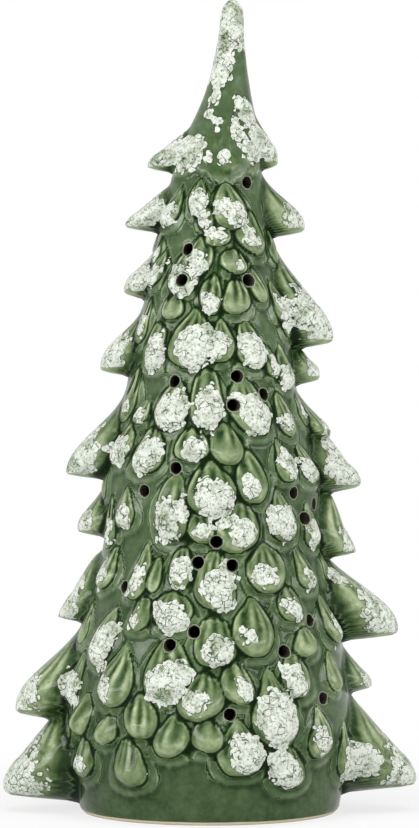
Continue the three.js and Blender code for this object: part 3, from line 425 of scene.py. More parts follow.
first_inner = ROWS * COLUMNS
last_inner = first_inner + (len(inner) - 1) * COLUMNS
faces = band(first_inner, 0)
for k in range(ROWS - 1):
    faces += band(k * COLUMNS, (k + 1) * COLUMNS)
for k in range(len(inner) - 1):
    faces += band(first_inner + (k + 1) * COLUMNS, first_inner + k * COLUMNS)
faces += cap((ROWS - 1) * COLUMNS, len(points) - 2, True) + cap(last_inner, len(points) - 1, False)
cast_mesh = bpy.data.meshes.new("stoneware_tree")
cast_mesh.from_pydata(points.tolist(), [], faces)
for name, values, rest in (
    ("fluted", casting.fluted, 0), ("phase", casting.phase, 0), ("contour", contour, FAR),
    ("crease", crease, 0), ("ridge", ridge, 0), ("snow", casting.snow, -FAR),
    ("bough", softer(casting.bough, 1), 0), ("to_hole", to_hole, 99), ("outside", np.ones_like(stand), 0),
):
    layer = cast_mesh.attributes.new(name, "FLOAT", "POINT")
    elsewhere = np.full(len(points) - first_inner, rest)
    layer.data.foreach_set("value", np.concatenate([values.ravel(), elsewhere]))


def in_scene(name, data):
    made = bpy.data.objects.new(name, data)
    bpy.context.scene.collection.objects.link(made)
    return made


def smoothed(mesh, blunt=35):
    """Shades a mesh smooth, except where it turns by more than blunt degrees."""
    mesh.shade_smooth()
    mesh.set_sharp_from_angle(angle=math.radians(blunt))


def skin(rings):
    """A closed shape over rings of points, all with the same number of points."""
    sides = len(rings[0])
    shape_faces = [list(range(sides))[::-1], [(len(rings) - 1) * sides + k for k in range(sides)]]
    for row in range(0, (len(rings) - 1) * sides, sides):
        for k in range(sides):
            after = (k + 1) % sides
            shape_faces.append([row + k, row + after, row + sides + after, row + sides + k])
    return [point for ring in rings for point in ring], shape_faces


def solid(*shapes):
    """One mesh from several closed shapes, each given as points in millimetres and faces."""
    points = []
    faces = []
    for shape_points, shape_faces in shapes:
        faces += [[len(points) + k for k in face] for face in shape_faces]
        points += [[value * MM for value in point] for point in shape_points]
    mesh = bpy.data.meshes.new("solid")
    mesh.from_pydata(points, [], faces)
    return mesh


def carved(piece, cutter_mesh, blunt=35):
    """Cuts closed shapes out of a piece."""
    cutter = in_scene("cutter", cutter_mesh)
    cut = piece.modifiers.new("cut", "BOOLEAN")
    cut.operation = "DIFFERENCE"
    cut.solver = "MANIFOLD"
    cut.object = cutter
    shape = bpy.data.meshes.new_from_object(piece.evaluated_get(bpy.context.evaluated_depsgraph_get()))
    piece.modifiers.clear()
    piece.data = shape
    bpy.data.objects.remove(cutter)
    smoothed(shape, blunt)


def hole_cutter(bearing, height):
    """A round bar through the wall, square to the bare body."""
    angle = math.radians(bearing)
    out = Vector((math.sin(angle), -math.cos(angle), 0))
    aside = Vector((math.cos(angle), math.sin(angle), 0))
    radius = float(body_radius(height))
    middle = Vector((tree_lean(height), 0, height))
    rings = []
    for reach in (radius - 2 * WALL, radius + 4 * WALL):
        turns = [2 * math.pi * k / HOLE_SIDES for k in range(HOLE_SIDES)]
        spokes = [aside * math.cos(turn) + Vector((0, 0, 1)) * math.sin(turn) for turn in turns]
        rings.append([middle + out * reach + spoke * HOLE_RADIUS for spoke in spokes])
    return skin(rings)


tree = in_scene("stoneware_tree", cast_mesh)
carved(tree, solid(*(hole_cutter(*hole) for hole in holes)), 50)


class Field:
    """A value that varies over a surface: arithmetic on it adds Math nodes to its material."""

    def __init__(self, nodes, socket=None):
        self.nodes = nodes
        self.socket = socket

    def node(self, kind, settings=None, inputs=None, output=0):
        """Adds a node: its settings first, then the values of its sockets or the links to them."""
        made = self.nodes.nodes.new(kind)
        for name, value in (settings or {}).items():
            if name == "stops":
                while len(made.color_ramp.elements) < len(value):
                    made.color_ramp.elements.new(0.5)
                for element, (place, colour) in zip(made.color_ramp.elements, value):
                    element.position = place
                    element.color = (*colour, 1)
            else:
                setattr(made, name, value)
        for name, value in (inputs or {}).items():
            if isinstance(value, Field):
                self.nodes.links.new(value.socket, made.inputs[name])
            else:
                made.inputs[name].default_value = value
        return Field(self.nodes, made.outputs[output])

    def math(self, operation, *values):
        return self.node("ShaderNodeMath", {"operation": operation}, dict(enumerate((self, *values))))

    def __add__(self, other):
        return self.math("ADD", other)

    def __mul__(self, other):
        return self.math("MULTIPLY", other)

    def __sub__(self, other):
        return self.math("SUBTRACT", other)

    def __rsub__(self, other):
        return self * -1 + other

    __radd__ = __add__
    __rmul__ = __mul__

    def step(self, low, high):
        """0 below low, 1 above high, and a smooth rise between."""
        inputs = {"Value": self, "From Min": low, "From Max": high}
        return self.node("ShaderNodeMapRange", {"interpolation_type": "SMOOTHSTEP", "clamp": True}, inputs)

    def between(self, none, full):
        """Mixes two colours by this field."""
        inputs = {0: self, 6: none, 7: full}
        return self.node("ShaderNodeMix", {"data_type": "RGBA", "clamp_factor": True}, inputs, 2)

    def ramp(self, stops):
        return self.node("ShaderNodeValToRGB", {"stops": stops}, {0: self})

    def to(self, shader, name):
        """Links this field to one of a shader's sockets."""
        self.nodes.links.new(self.socket, shader.inputs[name])

    def bump(self, shader, strength, distance):
        """Raises and lowers a shader's surface by this field."""
        inputs = {"Strength": strength, "Distance": distance, "Height": self}
        self.node("ShaderNodeBump", None, inputs).to(shader, "Normal")


def material(name):
    """A new material: its Principled node, and the place on the piece as a field to start from."""
    made = bpy.data.materials.new(name)
    made.use_nodes = True
    place = Field(made.node_tree).node("ShaderNodeTexCoord", output=3)
    return made, made.node_tree.nodes["Principled BSDF"], place


def noise(place, scale, detail=2.0, roughness=0.5):
    inputs = {"Vector": place, "Scale": scale, "Detail": detail, "Roughness": roughness}
    return place.node("ShaderNodeTexNoise", None, inputs)


# From glaze that has pooled, darkened further by painted shade in the creases, to glaze that has run thin,
# lightened further by painted highlights along edges, on the boughs and on the body between them.
BOUGH_GLAZE = [
    (0.0, (0.002, 0.010, 0.001)), (0.2, (0.014, 0.040, 0.005)), (0.46, (0.073, 0.122, 0.041)),
    (0.68, (0.160, 0.218, 0.104)), (1.0, (0.43, 0.50, 0.30)),
]
BODY_GLAZE = [
    (0.0, (0.002, 0.012, 0.001)), (0.2, (0.016, 0.040, 0.008)), (0.5, (0.066, 0.110, 0.045)),
    (0.75, (0.150, 0.200, 0.115)), (1.0, (0.32, 0.39, 0.25)),
]
HOLE_RIM_AND_HIGHLIGHT = (0.38, 0.44, 0.30, 1)
THICK_SNOW = (0.68, 0.71, 0.645, 1)
THIN_SNOW = (0.13, 0.185, 0.085, 1)
SNOW_CRACK = (0.03, 0.05, 0.02, 1)
SNOW_SHADOW = (0.015, 0.03, 0.01, 1)
SNOW_LUMPS = 360.0
FOOT_CLAY = [(0.60, 0.52, 0.38, 1), (0.74, 0.67, 0.52, 1)]
HOLLOW_SHADE_ON_CLAY = (0.06, 0.052, 0.04, 1)


def glaze_and_snow():
    """Green glaze that runs off the ribs and pools in the creases, with painted shade in the creases and
    painted highlights along the edges of forms, and snow paint fired over it.
    """
    made, shader, place = material("green_glaze_and_snow")
    fluted, phase, contour, crease, ridge, snow, bough, to_hole, outside = (
        place.node("ShaderNodeAttribute", {"attribute_name": name}, None, 2)
        for name in ("fluted", "phase", "contour", "crease", "ridge", "snow", "bough", "to_hole", "outside")
    )
    level = place.node("ShaderNodeSeparateXYZ", None, {0: place}, 2) * 1000
    cloud = noise(place, 60, 3)
    grain = noise(place, 420, 4, 0.62)
    fine = noise(place, 950, 2, 0.6)
    # a dark line of painted shade where a form meets the clay below it, partly glaze pooled there, and a
    # pale line of painted highlight along its edge, partly where glaze has run off it
    off_line = contour.math("ABSOLUTE")
    pooled_glaze_and_shade = (1 - off_line.step(0.08, 0.42)).math("MAXIMUM", crease * 0.6)
    thin_edge_and_highlight = off_line.step(0.45, 0.75) * (1 - off_line.step(0.95, 1.6))
    wave = (phase * (2 * math.pi) + (grain - 0.5) * 2.2).math("COSINE")
    uneven = noise(place, 230, 2).step(0.3, 0.7)
    groove = wave.step(0.1, 1.0) * fluted * (0.35 + uneven * 0.65)
    rib = (wave * -1).step(-0.3, 1.0) * fluted * (1.0 - uneven * 0.5)
    patch = noise(place, 170, 3, 0.6)
    tone = 0.48 + ridge * 0.3 - groove * 0.36 + rib * 0.25 - pooled_glaze_and_shade * 0.46 + thin_edge_and_highlight * 0.25
    tone = tone + (cloud - 0.5) * 0.25 + (patch - 0.5) * 0.45 + (grain - 0.5) * 0.35
    tone = tone + bough.step(0.2, 0.45) * (1 - bough.step(0.55, 0.8)) * 0.07
    tone = tone - (1 - level.step(14, 34)) * 0.12
    glaze = bough.step(0.4, 0.95).between(tone.ramp(BODY_GLAZE), tone.ramp(BOUGH_GLAZE))
    # the snow: thick paint in lumps, scalloped at its edge, split between some of the lumps
    warp = place.node("ShaderNodeTexNoise", None, {"Vector": place, "Scale": 350.0, "Detail": 3.0}, 1)
    warp = place.node("ShaderNodeVectorMath", {"operation": "SCALE"}, {0: warp, "Scale": 0.0022})
    bent = place.node("ShaderNodeVectorMath", {"operation": "ADD"}, {0: place, 1: warp})
    lumps = {"Vector": bent, "Scale": SNOW_LUMPS}
    lump, kind, seam = (
        place.node("ShaderNodeTexVoronoi", {"feature": feature}, lumps, output)
        for feature, output in (("F1", 0), ("F1", 1), ("DISTANCE_TO_EDGE", 0))
    )
    kind = place.node("ShaderNodeSeparateXYZ", None, {0: kind})
    ragging = 6.2 - level.step(282, 292) * 3.2
    edge = snow + 0.75 + (0.3 - lump) * 1.9 + (kind - 0.5) * 1.9
    edge = edge + (noise(place, 120) - 0.5) * ragging + (grain - 0.5) * 1.8
    cover = edge.step(0.0, 0.16)
    shade = edge.step(-0.6, -0.1) * (1 - cover)
    split = (1 - seam.step(0.015, 0.05)) * noise(place, 240).step(0.51, 0.56)
    pits = 1 - noise(place, 1000).step(0.27, 0.34)
    dark = split.math("MAXIMUM", pits) * edge.step(0.25, 0.5)
    worn = noise(place, 150).step(0.5, 0.72)
    thin = (1 - grain.step(0.36, 0.58)) * 0.25 + (1 - fine.step(0.34, 0.52)) * 0.55 + worn * 0.5
    # just inside its edge the snow stays thick and white, heaped paint and a painted highlight along the
    # rim; further in it wears thin
    white = (thin * edge.step(0.15, 0.5)).between(THICK_SNOW, THIN_SNOW)
    snowy = (dark * 0.92).between(white, SNOW_CRACK)
    coloured = cover.between((shade * 0.55).between(glaze, SNOW_SHADOW), snowy)
    # a pale ring round each hole: glaze pulled thin at the cut, and a painted highlight on its sharp edge
    rim = (1 - (to_hole - HOLE_RADIUS).step(0.05, 0.6)) * 0.8
    coloured = rim.between(coloured, HOLE_RIM_AND_HIGHLIGHT)
    glossy = outside * (level + (cloud - 0.5) * 0.6).step(1.0, 1.5)
    # bare clay at the foot, turning above the floor of the recess to a painted shade, far darker than the
    # clay, over the inside of the hollow and the walls of the holes
    bare_clay_and_hollow_shade = level.step(7.5, 11).between(cloud.between(*FOOT_CLAY), HOLLOW_SHADE_ON_CLAY)
    glossy.between(bare_clay_and_hollow_shade, coloured).to(shader, "Base Color")
    (0.4 + cover * 0.3 + (1 - glossy) * 0.2).to(shader, "Roughness")
    shader.inputs["Specular IOR Level"].default_value = 0.04
    (glossy * (0.58 - cover * 0.42) * (1 - pooled_glaze_and_shade * 0.85)).to(shader, "Coat Weight")
    shader.inputs["Coat IOR"].default_value = 1.34
    shader.inputs["Coat Roughness"].default_value = 0.11
    heaped = 0.8 - dark * 0.6 + grain * 0.14 + noise(place, 240) * 0.8
    lift = cover * heaped + (grain - 0.5) * 0.12 + cloud * 0.5 - groove * (1 - cover) * 0.7
    lift.bump(shader, 0.8, 0.0006)
    return made


def fitted(piece, body, slot, finishes, *nodes):
    """Puts a piece in the place of its CAD nodes, on their body and with the finishes given; the slot is not
    used.
    """
    piece.data.materials.clear()
    for finish in finishes:
        piece.data.materials.append(finish)
    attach(piece, body)
    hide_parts(*nodes)


fitted(tree, "root", "green_glaze", [glaze_and_snow()], "tree_shell")

# A ring of closed-cell foam, sticky on both faces, bonds the light unit up against the tree's floor
# and keeps light from leaking round it. It is cut from white sheet.


def foam():
    made, shader, place = material("closed_cell_foam")
    cells = place.node("ShaderNodeTexVoronoi", None, {"Vector": place, "Scale": 1500.0})
    shade = cells.step(0.1, 0.6) * 0.5 + noise(place, 90) * 0.5
    shade.between((0.82, 0.81, 0.77, 1), (0.66, 0.65, 0.60, 1)).to(shader, "Base Color")
    shader.inputs["Roughness"].default_value = 0.95
    cells.bump(shader, 0.5, 0.0003)
    return made


def dress(node, finish):
    """Gives a CAD node that keeps its own shape a better material."""
    for material_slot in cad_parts[node].material_slots:
        material_slot.material = finish


dress("seal_ring", foam())

# The light unit is a plate and a tub moulded in one in black plastic, with a bay for three cells that
# is open below. Its outside has the fine grain of a spark-eroded mould, and its edges are softened.


def rounder(work):
    """Splits the edges round the rim of a disc and moves the new points out to its circle."""
    widest = max(point.co.xy.length for point in work.verts)

    def on_rim(edge):
        level = abs(edge.verts[0].co.z - edge.verts[1].co.z) < 0.01 * MM
        return level and min(point.co.xy.length for point in edge.verts) > widest - 0.02 * MM

    split = bmesh.ops.subdivide_edges(work, edges=[edge for edge in work.edges if on_rim(edge)], cuts=3)
    for point in split["geom_inner"]:
        if isinstance(point, bmesh.types.BMVert) and point.co.xy.length > 0.95 * widest:
            point.co.xy = point.co.xy.normalized() * widest


def placed(name, mesh, blunt=35):
    """A mesh as an object in the scene, smooth except where it turns sharply."""
    smoothed(mesh, blunt)
    return in_scene(name, mesh)


def softened(name, node, width, disc=False):
    """A copy of a CAD node's mesh, with its edges rounded as a mould or a press leaves them."""
    work = bmesh.new()
    work.from_mesh(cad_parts[node].data)
    bmesh.ops.remove_doubles(work, verts=work.verts, dist=1e-6)
    bmesh.ops.dissolve_limit(work, angle_limit=math.radians(1), verts=work.verts, edges=work.edges)
    if disc:
        rounder(work)
    edges = [edge for edge in work.edges if edge.calc_face_angle(0) > math.radians(30)]
    limits = {"segments": 2, "profile": 0.5, "affect": "EDGES", "clamp_overlap": True}
    bmesh.ops.bevel(work, geom=edges, offset=width * MM, **limits)
    mesh = bpy.data.meshes.new(name)
    work.to_mesh(mesh)
    work.free()
    return placed(name, mesh, 30)


def moulded_plastic(name, dark, light, roughness, grain):
    """Moulded plastic with a sprayed-sand grain, a little dull where it has been handled."""
    made, shader, place = material(name)
    worn = noise(place, 55, 4, 0.6)
    speck = noise(place, 2600, 2, 0.7)
    (worn * 0.6 + speck * 0.4).between(dark, light).to(shader, "Base Color")
    (worn.step(0.3, 0.7) * 0.18 + roughness - 0.09).to(shader, "Roughness")
    (speck + worn * 0.4).bump(shader, grain, 0.00012)
    return made


SOOT, SLATE = (0.012, 0.012, 0.012, 1), (0.045, 0.046, 0.044, 1)
black_plastic = moulded_plastic("black_moulded_plastic", SOOT, SLATE, 0.5, 0.7)
housing = softened("light_unit_housing", "housing", 0.22, disc=True)
fitted(housing, "root", "housing_plastic", [black_plastic], "housing")

# The battery door snaps into the plate: two tongues hook in at one end and a catch holds the other.
# It is moulded in the same plastic, with raised grip ribs for the thumb beside the catch.
GROUND_GAP = 3.2


def rib(x, y, z, length, width, height, sides=8):
    """A rounded bar along y that stands down from a face at height z."""
    arc = [math.pi * k / sides for k in range(sides + 1)]
    rings = []
    for end, shrink in ((-1, 0.55), (-1, 1), (1, 1), (1, 0.55)):
        along = y + (length / 2 - (0 if shrink < 1 else width / 2)) * end
        half, deep = width / 2 * shrink, height * shrink
        rings.append([(x - half * math.cos(turn), along, z - deep * math.sin(turn)) for turn in arc])
    return skin(rings)


def joined(piece, extra):
    """Adds the faces of a second mesh to a piece."""
    work = bmesh.new()
    work.from_mesh(piece.data)
    work.from_mesh(extra)
    bmesh.ops.recalc_face_normals(work, faces=work.faces)
    work.to_mesh(piece.data)
    work.free()
    smoothed(piece.data)


DOOR_RIBS = (14.5, 16.3, 18.1, 19.9, 21.7)
door = softened("battery_door_panel", "battery_door", 0.2)
joined(door, solid(*(rib(x, 0, GROUND_GAP + 0.05, 15, 0.9, 0.4) for x in DOOR_RIBS)))
fitted(door, "door", "housing_plastic", [black_plastic], "battery_door")

# Three small alkaline cells lie side by side, turned end for end so that they are in series. Each is
# a steel can with a printed jacket shrunk over it, a pip at one end and a flat cap at the other.
CELL_AXIS = 10.85
CELL_PITCH = 10.9
CELL_RADIUS = 5.25
CELL_BODY = 43.7
# The middle of each cell, and the way that its pip faces.
CELL_PLACES = [(-3.3, -1), (3.3, 1), (-3.3, -1)]
# The ends of a can, as (distance from the end of its body, radius), and the radius that the jacket
# is shrunk in to.
FLAT_END = [
    (0, 3.4), (0.05, 3.7), (0.35, 3.8), (0.35, 4.5), (0, 4.75), (0.1, 5.05), (0.4, CELL_RADIUS - 0.02),
]
PIP_END = [
    (-0.9, CELL_RADIUS - 0.02), (-0.35, CELL_RADIUS - 0.15), (0, 4.6), (0, 4.3), (-0.3, 4.1), (-0.3, 2.1),
    (0.2, 1.9), (0.6, 1.85), (0.8, 1.6),
]
JACKET_EDGE = 4.9


def turned(profile, place, axis="z", sides=40):
    """A revolved shape from (distance along its axis, radius) pairs, closed at both ends."""
    rings = []
    for along, radius in profile:
        turns = [2 * math.pi * k / sides for k in range(sides)]
        spokes = [(radius * math.cos(turn), radius * math.sin(turn)) for turn in turns]
        offsets = [(along, *spoke) if axis == "x" else (*spoke, along) for spoke in spokes]
        rings.append([[value + shift for value, shift in zip(offset, place)] for offset in offsets])
    return skin(rings)


def steel(name, bright, dull, roughness):
    """Bright plated steel with faint rolling lines and a little tarnish."""
    made, shader, place = material(name)
    lines = place.node("ShaderNodeVectorMath", {"operation": "MULTIPLY"}, {0: place, 1: (1, 0.05, 1)})
    rolled = noise(lines, 4000, 2, 0.6)
    tarnish = noise(place, 160, 4, 0.6)
    (tarnish.step(0.35, 0.75) * 0.7 + rolled * 0.3).between(bright, dull).to(shader, "Base Color")
    shader.inputs["Metallic"].default_value = 1.0
    (tarnish * 0.2 + rolled * 0.1 + roughness).to(shader, "Roughness")
    rolled.bump(shader, 0.25, 0.00005)
    return made


def cell_jacket(facing):
    """A dark jacket with a paler end, and faint scuffs."""
    made, shader, place = material("cell_jacket")
    along = place.node("ShaderNodeSeparateXYZ", None, {0: place}, 0)
    scuff = noise(place, 700, 4, 0.7).step(0.56, 0.7)
    pale_end = (along * 1000 * facing).step(14.2, 14.3)
    jacket = pale_end.between((0.020, 0.030, 0.050, 1), (0.42, 0.42, 0.40, 1))
    (scuff * 0.3).between(jacket, (0.30, 0.31, 0.32, 1)).to(shader, "Base Color")
    (scuff * 0.25 + 0.28).to(shader, "Roughness")
    shader.inputs["Coat Weight"].default_value = 0.4
    return made


plated_steel = steel("plated_steel", (0.66, 0.66, 0.67, 1), (0.44, 0.43, 0.42, 1), 0.16)
for index, (middle, facing) in enumerate(CELL_PLACES):
    half = CELL_BODY / 2
    y = (index - 1) * CELL_PITCH
    profile = [(along - half, radius) for along, radius in FLAT_END]
    profile += [(along + half, radius) for along, radius in PIP_END]
    profile = [(facing * along, radius) for along, radius in profile][::facing]
    cell = placed(f"cell_{index + 1}", solid(turned(profile, (middle, y, CELL_AXIS), "x")))
    fitted(cell, "root", "cell_jacket", [cell_jacket(facing), plated_steel], f"battery_{index + 1}")
    for face in cell.data.polygons:
        from_axis = math.hypot(face.center.y - y * MM, face.center.z - CELL_AXIS * MM)
        face.material_index = int(abs(face.normal.x) > 0.3 or from_axis < JACKET_EDGE * MM)

# The contacts are stamped from plated spring steel and pressed into slots in the bay's end walls. Two
# bridge from cell to cell, two carry the leads, and a conical spring is wound for each flat cell end.
# The springs, from the plate to the cell: radius of the coil, and distance from the plate.
SPRING_TURNS = 3
SPRING_RADII = (3.6, 2.4)
SPRING_RUN = (0.175, 6.7)
BAY_HALF_LENGTH = 26.75
PLATE_FACE = 26.25
BAY_ROOF = 18.2


def tube(path, radius, sides=12):
    """A round wire along a path, with closed ends."""
    path = np.array(path, dtype=float)
    along = np.gradient(path, axis=0)
    along /= np.linalg.norm(along, axis=1)[:, None]
    turns = [2 * math.pi * k / sides for k in range(sides)]
    side = np.cross(along[0], (0.3, 0.5, 0.81))
    rings = []
    for place, ahead in zip(path, along):
        side = side - ahead * (side @ ahead)
        side /= np.linalg.norm(side)
        other = np.cross(ahead, side)
        spokes = [side * math.cos(turn) + other * math.sin(turn) for turn in turns]
        rings.append([(place + radius * spoke).tolist() for spoke in spokes])
    return skin(rings)


def slab(low, high, edge=0.12):
    """A block with its corners and edges clipped."""
    shape_points = []
    for k in range(3):
        for corner in range(8):
            place = [(low, high)[corner >> i & 1][i] for i in range(3)]
            for i in range(3):
                if i != k:
                    place[i] += edge if place[i] == low[i] else -edge
            shape_points.append(place)
    work = bmesh.new()
    corners = [work.verts.new(point) for point in shape_points]
    bmesh.ops.convex_hull(work, input=corners)
    work.verts.index_update()
    shape = [tuple(v.co) for v in work.verts], [[v.index for v in face.verts] for face in work.faces]
    work.free()
    return shape


def contact(side, rows, sprung=None, tail=None):
    """A plate on an end wall behind some cells, with a spring for one of them, or a tail for a lead."""
    outer_face, inner_face = side * BAY_HALF_LENGTH, side * PLATE_FACE
    low_y, high_y = min(rows) * CELL_PITCH - 4.4, max(rows) * CELL_PITCH + 4.4
    ends = sorted((outer_face, inner_face))
    shapes = [slab((ends[0], low_y, CELL_AXIS - 4.4), (ends[1], high_y, CELL_AXIS + 4.4))]
    if tail is not None:
        low, high = tail * CELL_PITCH - 1.5, tail * CELL_PITCH + 1.5
        shapes.append(slab((ends[0], low, CELL_AXIS), (ends[1], high, BAY_ROOF + 1.4)))
    if sprung is not None:
        path = []
        for k in range(28 * SPRING_TURNS + 1):
            share = k / (28 * SPRING_TURNS)
            turn = 2 * math.pi * SPRING_TURNS * share
            radius = SPRING_RADII[0] + (SPRING_RADII[1] - SPRING_RADII[0]) * share
            run = SPRING_RUN[0] + SPRING_RUN[1] * share
            place = (inner_face - side * run, sprung * CELL_PITCH + radius * math.cos(turn))
            path.append((*place, CELL_AXIS + radius * math.sin(turn)))
        shapes.append(tube(path, 0.35))
    return solid(*shapes)


for name, node, mesh in (
    ("positive_contact", "contact_positive", contact(-1, (-1,), tail=-1)),
    ("left_bridge_contact", "contact_bridge_left", contact(-1, (0, 1), sprung=0)),
    ("right_bridge_contact", "contact_bridge_right", contact(1, (-1, 0), sprung=-1)),
    ("negative_contact", "contact_negative", contact(1, (1,), sprung=1, tail=1)),
):
    fitted(placed(name, mesh, 25), "root", "spring_steel", [plated_steel], node)

# The slide switch has a folded steel case on the inside of the plate. Its ribbed plastic knob stands
# down through a slot, a little proud of the plate but clear of the table.
SWITCH_Y = 26.95
switch_case = softened("switch_case", "switch_body", 0.35)
fitted(switch_case, "root", "spring_steel", [plated_steel], "switch_body")
knob = softened("slide_knob", "switch_knob", 0.25)
joined(knob, solid(*(rib(x, SWITCH_Y, 2.1, 2.6, 0.5, 0.3) for x in (-3, -2, -1))))
fitted(knob, "switch", "black_plastic", [black_plastic], "switch_knob")

# A lid closes the tub and carries the circuit board on two bosses. Both are held by pan-head screws
# that cut their own threads in the plastic.
LID_TOP = 24
BOARD_LOW = 29
BOARD_TOP = 30.6
# Each screw, as name, place, the height that its head seats at, and its length.
SCREW_PLACES = [
    ("lid_screw_1", 16.4, 26.2, LID_TOP, 12), ("lid_screw_2", -16.4, -26.2, LID_TOP, 12),
    ("board_screw_1", -9, 0, BOARD_TOP, 5), ("board_screw_2", 9, 0, BOARD_TOP, 5),
]
SCREW_HEAD = [
    (-0.3, 0.88), (0, 0.9), (0, 2.2), (0.15, 2.28), (0.7, 2.2), (1.1, 1.8), (1.32, 1.1), (1.38, 0.3),
]
THREAD_STEP = 0.5
THREAD_CREST, THREAD_ROOT = 0.88, 0.62
CROSS_LENGTH, CROSS_WIDTH, CROSS_FLOOR = 1.25, 0.26, 0.6
lid = softened("housing_cover", "housing_lid", 0.18)
fitted(lid, "root", "housing_plastic", [black_plastic], "housing_lid")
for name, x, y, seat, length in SCREW_PLACES:
    profile = [(-length, 0.1), (-length + 1.0, THREAD_ROOT)]
    for k in range(int((length - 1.8) / THREAD_STEP)):
        profile.append((-length + 1.2 + THREAD_STEP * k, THREAD_CREST if k % 2 else THREAD_ROOT))
    profile += SCREW_HEAD
    screw = placed(f"{name}_steel", solid(turned(profile, (x, y, seat), "z", 28)))
    for wide, deep in ((CROSS_LENGTH, CROSS_WIDTH), (CROSS_WIDTH, CROSS_LENGTH)):
        bar = slab((x - wide, y - deep, seat + CROSS_FLOOR), (x + wide, y + deep, seat + 2), 0.02)
        carved(screw, solid(bar))
    fitted(screw, "root", "screw_steel", [plated_steel], name)

# The circuit board is a white-masked disc of glass laminate, held down by its two screws. Light
# bounces off it up into the tree.


def board_laminate():
    """White solder mask over copper that shows as faint raised tracks."""
    made, shader, place = material("white_board")
    cells = {"feature": "DISTANCE_TO_EDGE", "distance": "CHEBYCHEV"}
    spread = {"Vector": place, "Scale": 210.0, "Randomness": 0.75}
    raised = 1 - place.node("ShaderNodeTexVoronoi", cells, spread).step(0.1, 0.14)
    grain = noise(place, 500, 3)
    shade = raised * 0.35 + grain * 0.3
    shade.between((0.80, 0.79, 0.74, 1), (0.62, 0.62, 0.56, 1)).to(shader, "Base Color")
    (grain * 0.2 + 0.3).to(shader, "Roughness")
    raised.bump(shader, 0.5, 0.00006)
    return made


board = softened("board_disc", "circuit_board", 0.1)
fitted(board, "root", "board_laminate", [board_laminate()], "circuit_board")

# Three warm white LEDs stand on the board in a triangle. Each is a chip cast in clear epoxy, a domed
# barrel with a rim at its foot, on two tinned legs.
LED_PLACES = [(0, 8), (5.14, -6.13), (-5.14, -6.13)]
LED_RADIUS = 2.49
LED_FOOT = [(1.5, 2.75), (1.6, 2.88), (2.35, 2.88), (2.5, 2.7), (2.55, LED_RADIUS)]
DOME_START = 6.8
LEG_SPREAD = 1.27


def clear_epoxy():
    made, shader, place = material("clear_epoxy")
    flow = noise(place, 300, 2)
    flow.between((0.97, 0.93, 0.80, 1), (0.99, 0.96, 0.88, 1)).to(shader, "Base Color")
    (flow * 0.06 + 0.03).to(shader, "Roughness")
    shader.inputs["Transmission Weight"].default_value = 0.85
    shader.inputs["IOR"].default_value = 1.53
    return made


epoxy = clear_epoxy()
for index, (x, y) in enumerate(LED_PLACES):
    rises = [math.radians(degrees) for degrees in range(0, 89, 8)]
    dome = [(DOME_START + LED_RADIUS * math.sin(rise), LED_RADIUS * math.cos(rise)) for rise in rises]
    lens = turned(LED_FOOT + dome, (x, y, BOARD_TOP), "z", 32)
    legs = []
    for side in (-1, 1):
        legs.append(tube([(x + side * LEG_SPREAD, y, BOARD_TOP + z) for z in (0, 0.8, 1.6)], 0.28, 8))
    led = placed(f"led_lens_{index + 1}", solid(lens, *legs))
    fitted(led, "root", "led_lens", [epoxy, plated_steel], f"led_{index + 1}")
    for face in led.data.polygons:
        face.material_index = int(face.index >= len(lens[1]))

# One carbon-film resistor sets their current: a bulged body dipped in lacquer, with colour bands. Its
# leads are bent down and soldered to the board.
SAND = (0.50, 0.33, 0.16)
BROWN = (0.12, 0.04, 0.015)
BLACK = (0.02, 0.02, 0.02)
GOLD = (0.48, 0.34, 0.08)
RESISTOR_BANDS = [
    (0.0, SAND), (0.2, BROWN), (0.28, SAND), (0.38, BLACK), (0.46, SAND), (0.56, BROWN), (0.64, SAND),
    (0.78, GOLD), (0.86, SAND),
]
RESISTOR_BODY = [
    (-2.5, 0.4), (-2.45, 0.8), (-2.1, 1.05), (-1.6, 1.08), (-1.25, 0.9),
    (1.25, 0.9), (1.6, 1.08), (2.1, 1.05), (2.45, 0.8), (2.5, 0.4),
]
RESISTOR_LEAD = [
    (-4.3, 0, 0), (-4.3, 0, 1.5), (-4.2, 0, 1.85), (-3.95, 0, 2),
    (3.95, 0, 2), (4.2, 0, 1.85), (4.3, 0, 1.5), (4.3, 0, 0),
]


def lacquer():
    made, shader, place = material("banded_lacquer")
    along = place.node("ShaderNodeSeparateXYZ", None, {0: place}, 0)
    bands = along * 200 + 0.5 + (noise(place, 900) - 0.5) * 0.03
    bands.ramp(RESISTOR_BANDS).to(shader, "Base Color")
    (noise(place, 400) * 0.2 + 0.3).to(shader, "Roughness")
    shader.inputs["Coat Weight"].default_value = 0.3
    return made


barrel = turned(RESISTOR_BODY, (0, 0, BOARD_TOP + 2), "x", 24)
lead = tube([(x, y, z + BOARD_TOP) for x, y, z in RESISTOR_LEAD], 0.3, 8)
resistor = placed("resistor_body", solid(barrel, lead))
fitted(resistor, "root", "resistor_coat", [lacquer(), plated_steel], "resistor")
for face in resistor.data.polygons:
    face.material_index = int(face.index >= len(barrel[1]))

# Three short leads join the contacts, the switch and the board: stranded wire in soft vinyl, soldered
# at each end.
# The heights that the leads lie at, their radius, and the middle of the hole in the lid.
WIRE_LEVEL = 19.0
WIRE_RADIUS = 0.65
OVER_LID = 26.6
HOLE_Y = -22.0


def blend(one, other, start, end, at):
    return (one * (end - at) + other * (at - start)) / (end - start)


